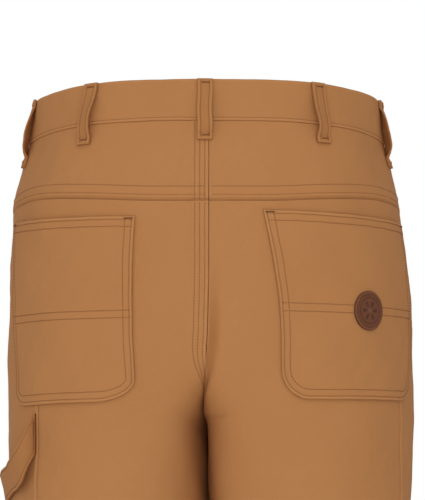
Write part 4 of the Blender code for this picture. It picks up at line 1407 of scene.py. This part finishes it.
def capsule():
    """A low capsule: rings of six points, with r = sqrt(1 - t^4) at t along it, and a point at each end."""
    along = np.array([-0.82, -0.35, 0.35, 0.82])
    size = np.sqrt(1 - along**4)
    turn = np.arange(6) * math.pi / 3
    over, up = (np.outer(size, part(turn)).reshape(-1) for part in (np.cos, np.sin))
    rings = np.stack([np.repeat(along, 6), over, up], axis=1)
    points = np.concatenate([rings, [[-1, 0, -0.4], [1, 0, -0.4]]])
    index = np.arange(24).reshape(4, 6)
    ahead = np.roll(index, -1, axis=1)
    quads = np.stack([index[:-1], index[1:], ahead[1:], ahead[:-1]], axis=2).reshape(-1, 4)
    start = np.stack([np.full(6, 24), index[0], ahead[0]], axis=1)
    end = np.stack([np.full(6, 25), ahead[3], index[3]], axis=1)
    return points, quads, np.concatenate([start, end])


CAPSULE = capsule()


def sew(group, path, out, pitch=STITCH_PITCH, length=STITCH_LENGTH, width=THREAD_WIDTH):
    """Lay stitches along a path of points, with the outward direction at each point."""
    run = np.concatenate([[0.0], np.cumsum(np.linalg.norm(np.diff(path, axis=0), axis=1))])
    count = max(1, int(run[-1] / pitch))
    at = (np.arange(count) + 0.5) * run[-1] / count

    def read(values, where):
        return np.stack([np.interp(where, run, values[:, axis]) for axis in range(3)], axis=1)

    centre, up = read(path, at), read(out, at)
    along = read(path, at + length / 2) - read(path, at - length / 2)
    along /= np.maximum(np.linalg.norm(along, axis=1, keepdims=True), 1e-9)
    up = up - along * np.sum(up * along, axis=1, keepdims=True)
    up /= np.linalg.norm(up, axis=1, keepdims=True)
    STITCHES.setdefault(group, []).append((centre, along, np.cross(up, along), up, length, width))


def sew_on(group, level, way, height, **options):
    """Lay stitches on the surface along these levels and ways, at a height over it."""
    level, way, height = np.broadcast_arrays(*(np.asarray(v, float) for v in (level, way, height)))
    path = body.off(level, way, height)
    out = body.off(level, way, height + 1 * MM) - path
    sew(group, path, out / np.linalg.norm(out, axis=1, keepdims=True), **options)


def bar_tack(group, centre, along, across, out, width=10 * MM, length=1.7 * MM, pitch=0.62 * MM):
    """A bar tack: short stitches side by side over a width."""
    steps = np.linspace(-width / 2, width / 2, int(width / pitch))[:, None]
    place = centre + across * steps
    frames = [np.broadcast_to(direction, place.shape) for direction in (along, across, out)]
    STITCHES.setdefault(group, []).append((place, *frames, length, TACK_THREAD_WIDTH))


def tack_on(group, level, way, height, turn=0.0, **options):
    """A bar tack on the surface, whose bar lies across the body, turned by some degrees."""
    centre = body.off(level, way, height)
    out = body.off(level, way, height + 1 * MM) - centre
    out /= np.linalg.norm(out)
    over = body.off(level, way + 1 * MM, height) - centre
    over /= np.linalg.norm(over)
    up = np.cross(out, over)
    a = math.radians(turn)
    along = up * math.cos(a) - over * math.sin(a)
    across = over * math.cos(a) + up * math.sin(a)
    bar_tack(group, centre, along, across, out, **options)


def make_stitches():
    """Turn each group of rows into one mesh."""
    points, quads, triangles = CAPSULE
    for group, rows in STITCHES.items():
        vertices, count = [], 0
        for centre, along, over, up, length, width in rows:
            shape = (
                along[:, None, :] * points[None, :, :1] * length / 2
                + over[:, None, :] * points[None, :, 1:2] * width / 2
                + up[:, None, :] * points[None, :, 2:] * THREAD_RISE
            )
            vertices.append((centre[:, None, :] + shape).reshape(-1, 3))
            count += len(centre)
        vertices = np.concatenate(vertices)
        first = (np.arange(count) * len(points))[:, None, None]
        all_quads = (quads[None] + first).reshape(-1, 4)
        all_triangles = (triangles[None] + first).reshape(-1, 3)
        if signed_volume(points, quads) < 0:
            all_quads, all_triangles = all_quads[:, ::-1], all_triangles[:, ::-1]
        made = put_mesh(f"stitches_{group}", vertices, all_quads, vertices[:, :2], all_triangles)
        made.data.materials.append(THREAD_FINISH)
        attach(made, "root")
        print(f"stitches_{group}: {count} stitches, {count * TRIANGLES_A_STITCH} triangles")


# %% Rows on the yokes, backs and fronts
for word, side in SIDES.items():
    share = np.linspace(0.012, 0.992, 400)
    for row in YOKE_ROWS:
        level = yoke_edge(share) + row
        girth = body.outseam(side, level) * share
        height = YOKE_LAP_HEIGHT + fell_height(side, level, girth) - 0.1 * MM
        sew_on(f"yoke_{word}", level, side * girth, height)
    level = HEM_LEVEL + HEM_ROWS[0]
    girth = np.linspace(2 * MM, float(body.half(side, level)) - 2 * MM, 500)
    sew_on(f"hem_{word}", level, side * girth, -0.15 * MM)
    for row in SCOOP_ROWS:
        level = np.linspace(WAIST_BOTTOM - 1 * MM, SCOOP_BOTTOM - 1 * MM, 200)
        sew_on(f"front_{word}", level, side * (scoop(side, level) + row), 0.45 * MM)
    for row in INSEAM_ROWS:
        level = np.linspace(CROTCH_LEVEL - 6 * MM, HEM_LEVEL + 22 * MM, 900)
        sew_on(f"front_{word}", level, side * (body.half(side, level) - row), -0.12 * MM)

for row in FELL_ROWS:
    yoke_foot = YOKE_LEVEL + YOKE_RISE[0].rise
    level = np.linspace(WAIST_BOTTOM - 1 * MM, yoke_foot + 0.5 * MM, 200)
    sew_on("centre_back", level, row * fell_narrows(level), FELL_HEIGHT + yoke_height(level - yoke_foot))
    level = np.linspace(yoke_foot - 1.5 * MM, FELL_END_LEVEL - 4 * MM, 300)
    sew_on("centre_back", level, row * fell_narrows(level), FELL_HEIGHT - 0.05 * MM)

# %% Rows on the band, the straps and the fly
for row in BAND_ROWS:
    level = WAIST_BOTTOM + row
    way = np.linspace(-(BAND_HALF - BAND_STEP_END + 4 * MM), BAND_HALF + BAND_OVERLAP - 3 * MM, 1200)
    sew_on("waistband", level, band_way(level, way), band_height(row, way) - 0.05 * MM)

for outer, face, over, along, across in STRAPS.values():
    for inset in (LOOP_ROW_INSET, LOOP_WIDTH - LOOP_ROW_INSET):
        path = outer[:, np.argmin(np.abs(across - inset))]
        sew("belt_loops", path[3:-3] - face[3:-3] * 0.05 * MM, face[3:-3], pitch=2.2 * MM, length=1.5 * MM)
    middle = outer[:, np.argmin(np.abs(across - LOOP_WIDTH / 2))]
    for end in (6, -7):
        bar_tack("belt_loops", middle[end], along[end], over[end], face[end], width=7 * MM)

for inset in (HAMMER_ROW_INSET / HAMMER_WIDTH, 1 - HAMMER_ROW_INSET / HAMMER_WIDTH):
    level, way, stand = hammer_spot(np.linspace(0.02, 0.98, 400), inset)
    sew_on("hammer_loop", level, way, stand + HAMMER_CLOTH - 0.1 * MM)
for along_strap in (0.045, 0.955):
    level, way, stand = hammer_spot(np.array(along_strap), 0.5)
    tack_on("hammer_loop", float(level), float(way), float(stand) + HAMMER_CLOTH, turn=90, width=26 * MM)

FLY_ROWS = (3.0 * MM, 8.5 * MM)
for row in FLY_ROWS:
    level = np.linspace(WAIST_BOTTOM - 2 * MM, FLY_BOTTOM + row * 0.8, 400)
    reach = np.maximum(fly_reach(level - row * 0.6) - row, 0.5 * MM)
    sew_on("fly", level, body.half(LEFT, level) - reach, FLY_LAID_ON + FLY_CLOTH - 0.05 * MM)
level = FLY_BOTTOM + 8 * MM
way = float(body.half(LEFT, level)) - 4 * MM
tack_on("fly", level, way, 1.9 * MM, turn=40, width=9 * MM)

# %% Rows on the pockets
for pocket in POCKETS:
    width = pocket_width(pocket)
    for row in POCKET_EDGE_ROWS:
        share = row / width + (1 - 2 * row / width) * (1 - np.cos(np.linspace(0, np.pi, 500))) / 2
        across = width * share
        low = pocket_depth(pocket, across, row)
        down_side = np.linspace(1 * MM, low[0], 200)
        across = np.concatenate([np.full(200, across[0]), across, np.full(200, across[-1])])
        down = np.concatenate([down_side, low, down_side[::-1]])
        level, girth = pocket_spot(pocket, across, down)
        relief, _ = pocket_height(pocket, across, down)
        sew_on(pocket.name, level, pocket.side * girth, relief + 0.1 * MM)
    for row in (*POCKET_HEM_ROWS, *pocket.middle):
        across = np.linspace(2 * MM, width - 2 * MM, 300)
        level, girth = pocket_spot(pocket, across, np.full_like(across, row))
        relief, _ = pocket_height(pocket, across, np.full_like(across, row))
        sew_on(pocket.name, level, pocket.side * girth, relief + 0.1 * MM)
    for across in (6 * MM, width - 6 * MM):
        level, girth = pocket_spot(pocket, np.array(across), np.array(2.2 * MM))
        relief, _ = pocket_height(pocket, np.array(across), np.array(5.0 * MM))
        tack_on(pocket.name, float(level), pocket.side * float(girth), float(relief) + 0.2 * MM, width=8 * MM)

turn = np.linspace(0, 2 * np.pi, 200)
behind, level = PATCH_CENTRE
girth = float(body.side_line(RIGHT, level)) - behind
sew_on(
    "leather_patch", level + PATCH_ROW * np.sin(turn), -(girth + PATCH_ROW * np.cos(turn)),
    PATCH_BASE + PATCH_CLOTH - 0.15 * MM, pitch=2.6 * MM, length=2.0 * MM, width=0.6 * MM,
)
make_stitches()

# %% [markdown]
# ## Light, floor and camera
#
# The trousers are shown as in a shop: held up, evenly lit, on white. A white world does most of the work.
# Four large soft lamps shape the cloth: behind the garment one above, one at its left and one low, and one
# in front of it. The floor is far enough down to stay out of sight. The camera stands four metres behind
# the garment, a little low, with a long lens.

# %% Light and floor
FLOOR_LEVEL = -1.16
FLOOR_SIZE = 9.0
WORLD_SHINE = 1.0
WORLD_LIGHT = 0.575


def make_world():
    """A white world for the camera, which lights the cloth less strongly than it looks."""
    world = bpy.data.worlds.new("studio")
    bpy.context.scene.world = world
    world.use_nodes = True
    nodes, links = world.node_tree.nodes, world.node_tree.links
    background = nodes["Background"]
    path = nodes.new("ShaderNodeLightPath")
    strength = nodes.new("ShaderNodeMapRange")
    strength.inputs["To Min"].default_value = WORLD_LIGHT
    strength.inputs["To Max"].default_value = WORLD_SHINE
    links.new(path.outputs["Is Camera Ray"], strength.inputs["Value"])
    links.new(strength.outputs["Result"], background.inputs["Strength"])
    background.inputs["Color"].default_value = (1.0, 1.0, 1.0, 1.0)


def make_floor():
    """A pale floor below the hems."""
    half = FLOOR_SIZE / 2
    across = np.array([-half, half, half, -half])
    along = np.array([-half, -half, half, half])
    corners = np.stack([across, along, np.full(4, FLOOR_LEVEL)], axis=1)
    floor = put_mesh("floor", corners, np.array([[0, 1, 2, 3]]), corners[:, :2])
    pale = Finish("floor", 0.9)
    floor.data.materials.append(pale.use(Base_Color=(0.86, 0.86, 0.85)))


def look_from(made, place, target):
    """Stand an object at a place and turn its -Z to the target."""
    made.location = place
    aim = mathutils.Vector(target) - mathutils.Vector(place)
    made.rotation_mode = "QUATERNION"
    made.rotation_quaternion = aim.to_track_quat("-Z", "Y")
    bpy.context.scene.collection.objects.link(made)


def make_lamp(name, place, size, power_w, target=(0.0, 0.0, -0.25)):
    """A large square lamp with a soft edge."""
    lamp = bpy.data.lights.new(name, "AREA")
    lamp.size = size
    lamp.energy = power_w
    look_from(bpy.data.objects.new(name, lamp), place, target)


bpy.context.scene.view_settings.view_transform = "Standard"
make_world()
make_floor()
make_lamp("lamp_over", (-0.5, 2.6, 1.9), 2.2, 22)
make_lamp("lamp_left", (2.4, 2.2, 0.6), 1.8, 7)
make_lamp("lamp_low", (0.2, 3.4, -0.85), 1.2, 34, (0.0, 0.0, -0.45))
make_lamp("lamp_front", (0.4, -2.8, 1.6), 2.4, 50)

# %% Camera
CAMERA_PLACE = (0.0, 4.0, -0.45)
CAMERA_AIM = (-0.0037, 0.0, -0.118)
CAMERA_LENS_MM = 301.9

lens = bpy.data.cameras.new("camera")
lens.lens = CAMERA_LENS_MM
lens.sensor_fit = "AUTO"
lens.clip_start = 0.1
camera = bpy.data.objects.new("camera", lens)
look_from(camera, CAMERA_PLACE, CAMERA_AIM)
bpy.context.scene.camera = camera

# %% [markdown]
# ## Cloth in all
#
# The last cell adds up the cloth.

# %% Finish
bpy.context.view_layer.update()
total = sum(area for _, _, _, area in SHEETS)
print(f"cloth in all: {total:.3f} m2 in {len(SHEETS)} pieces")
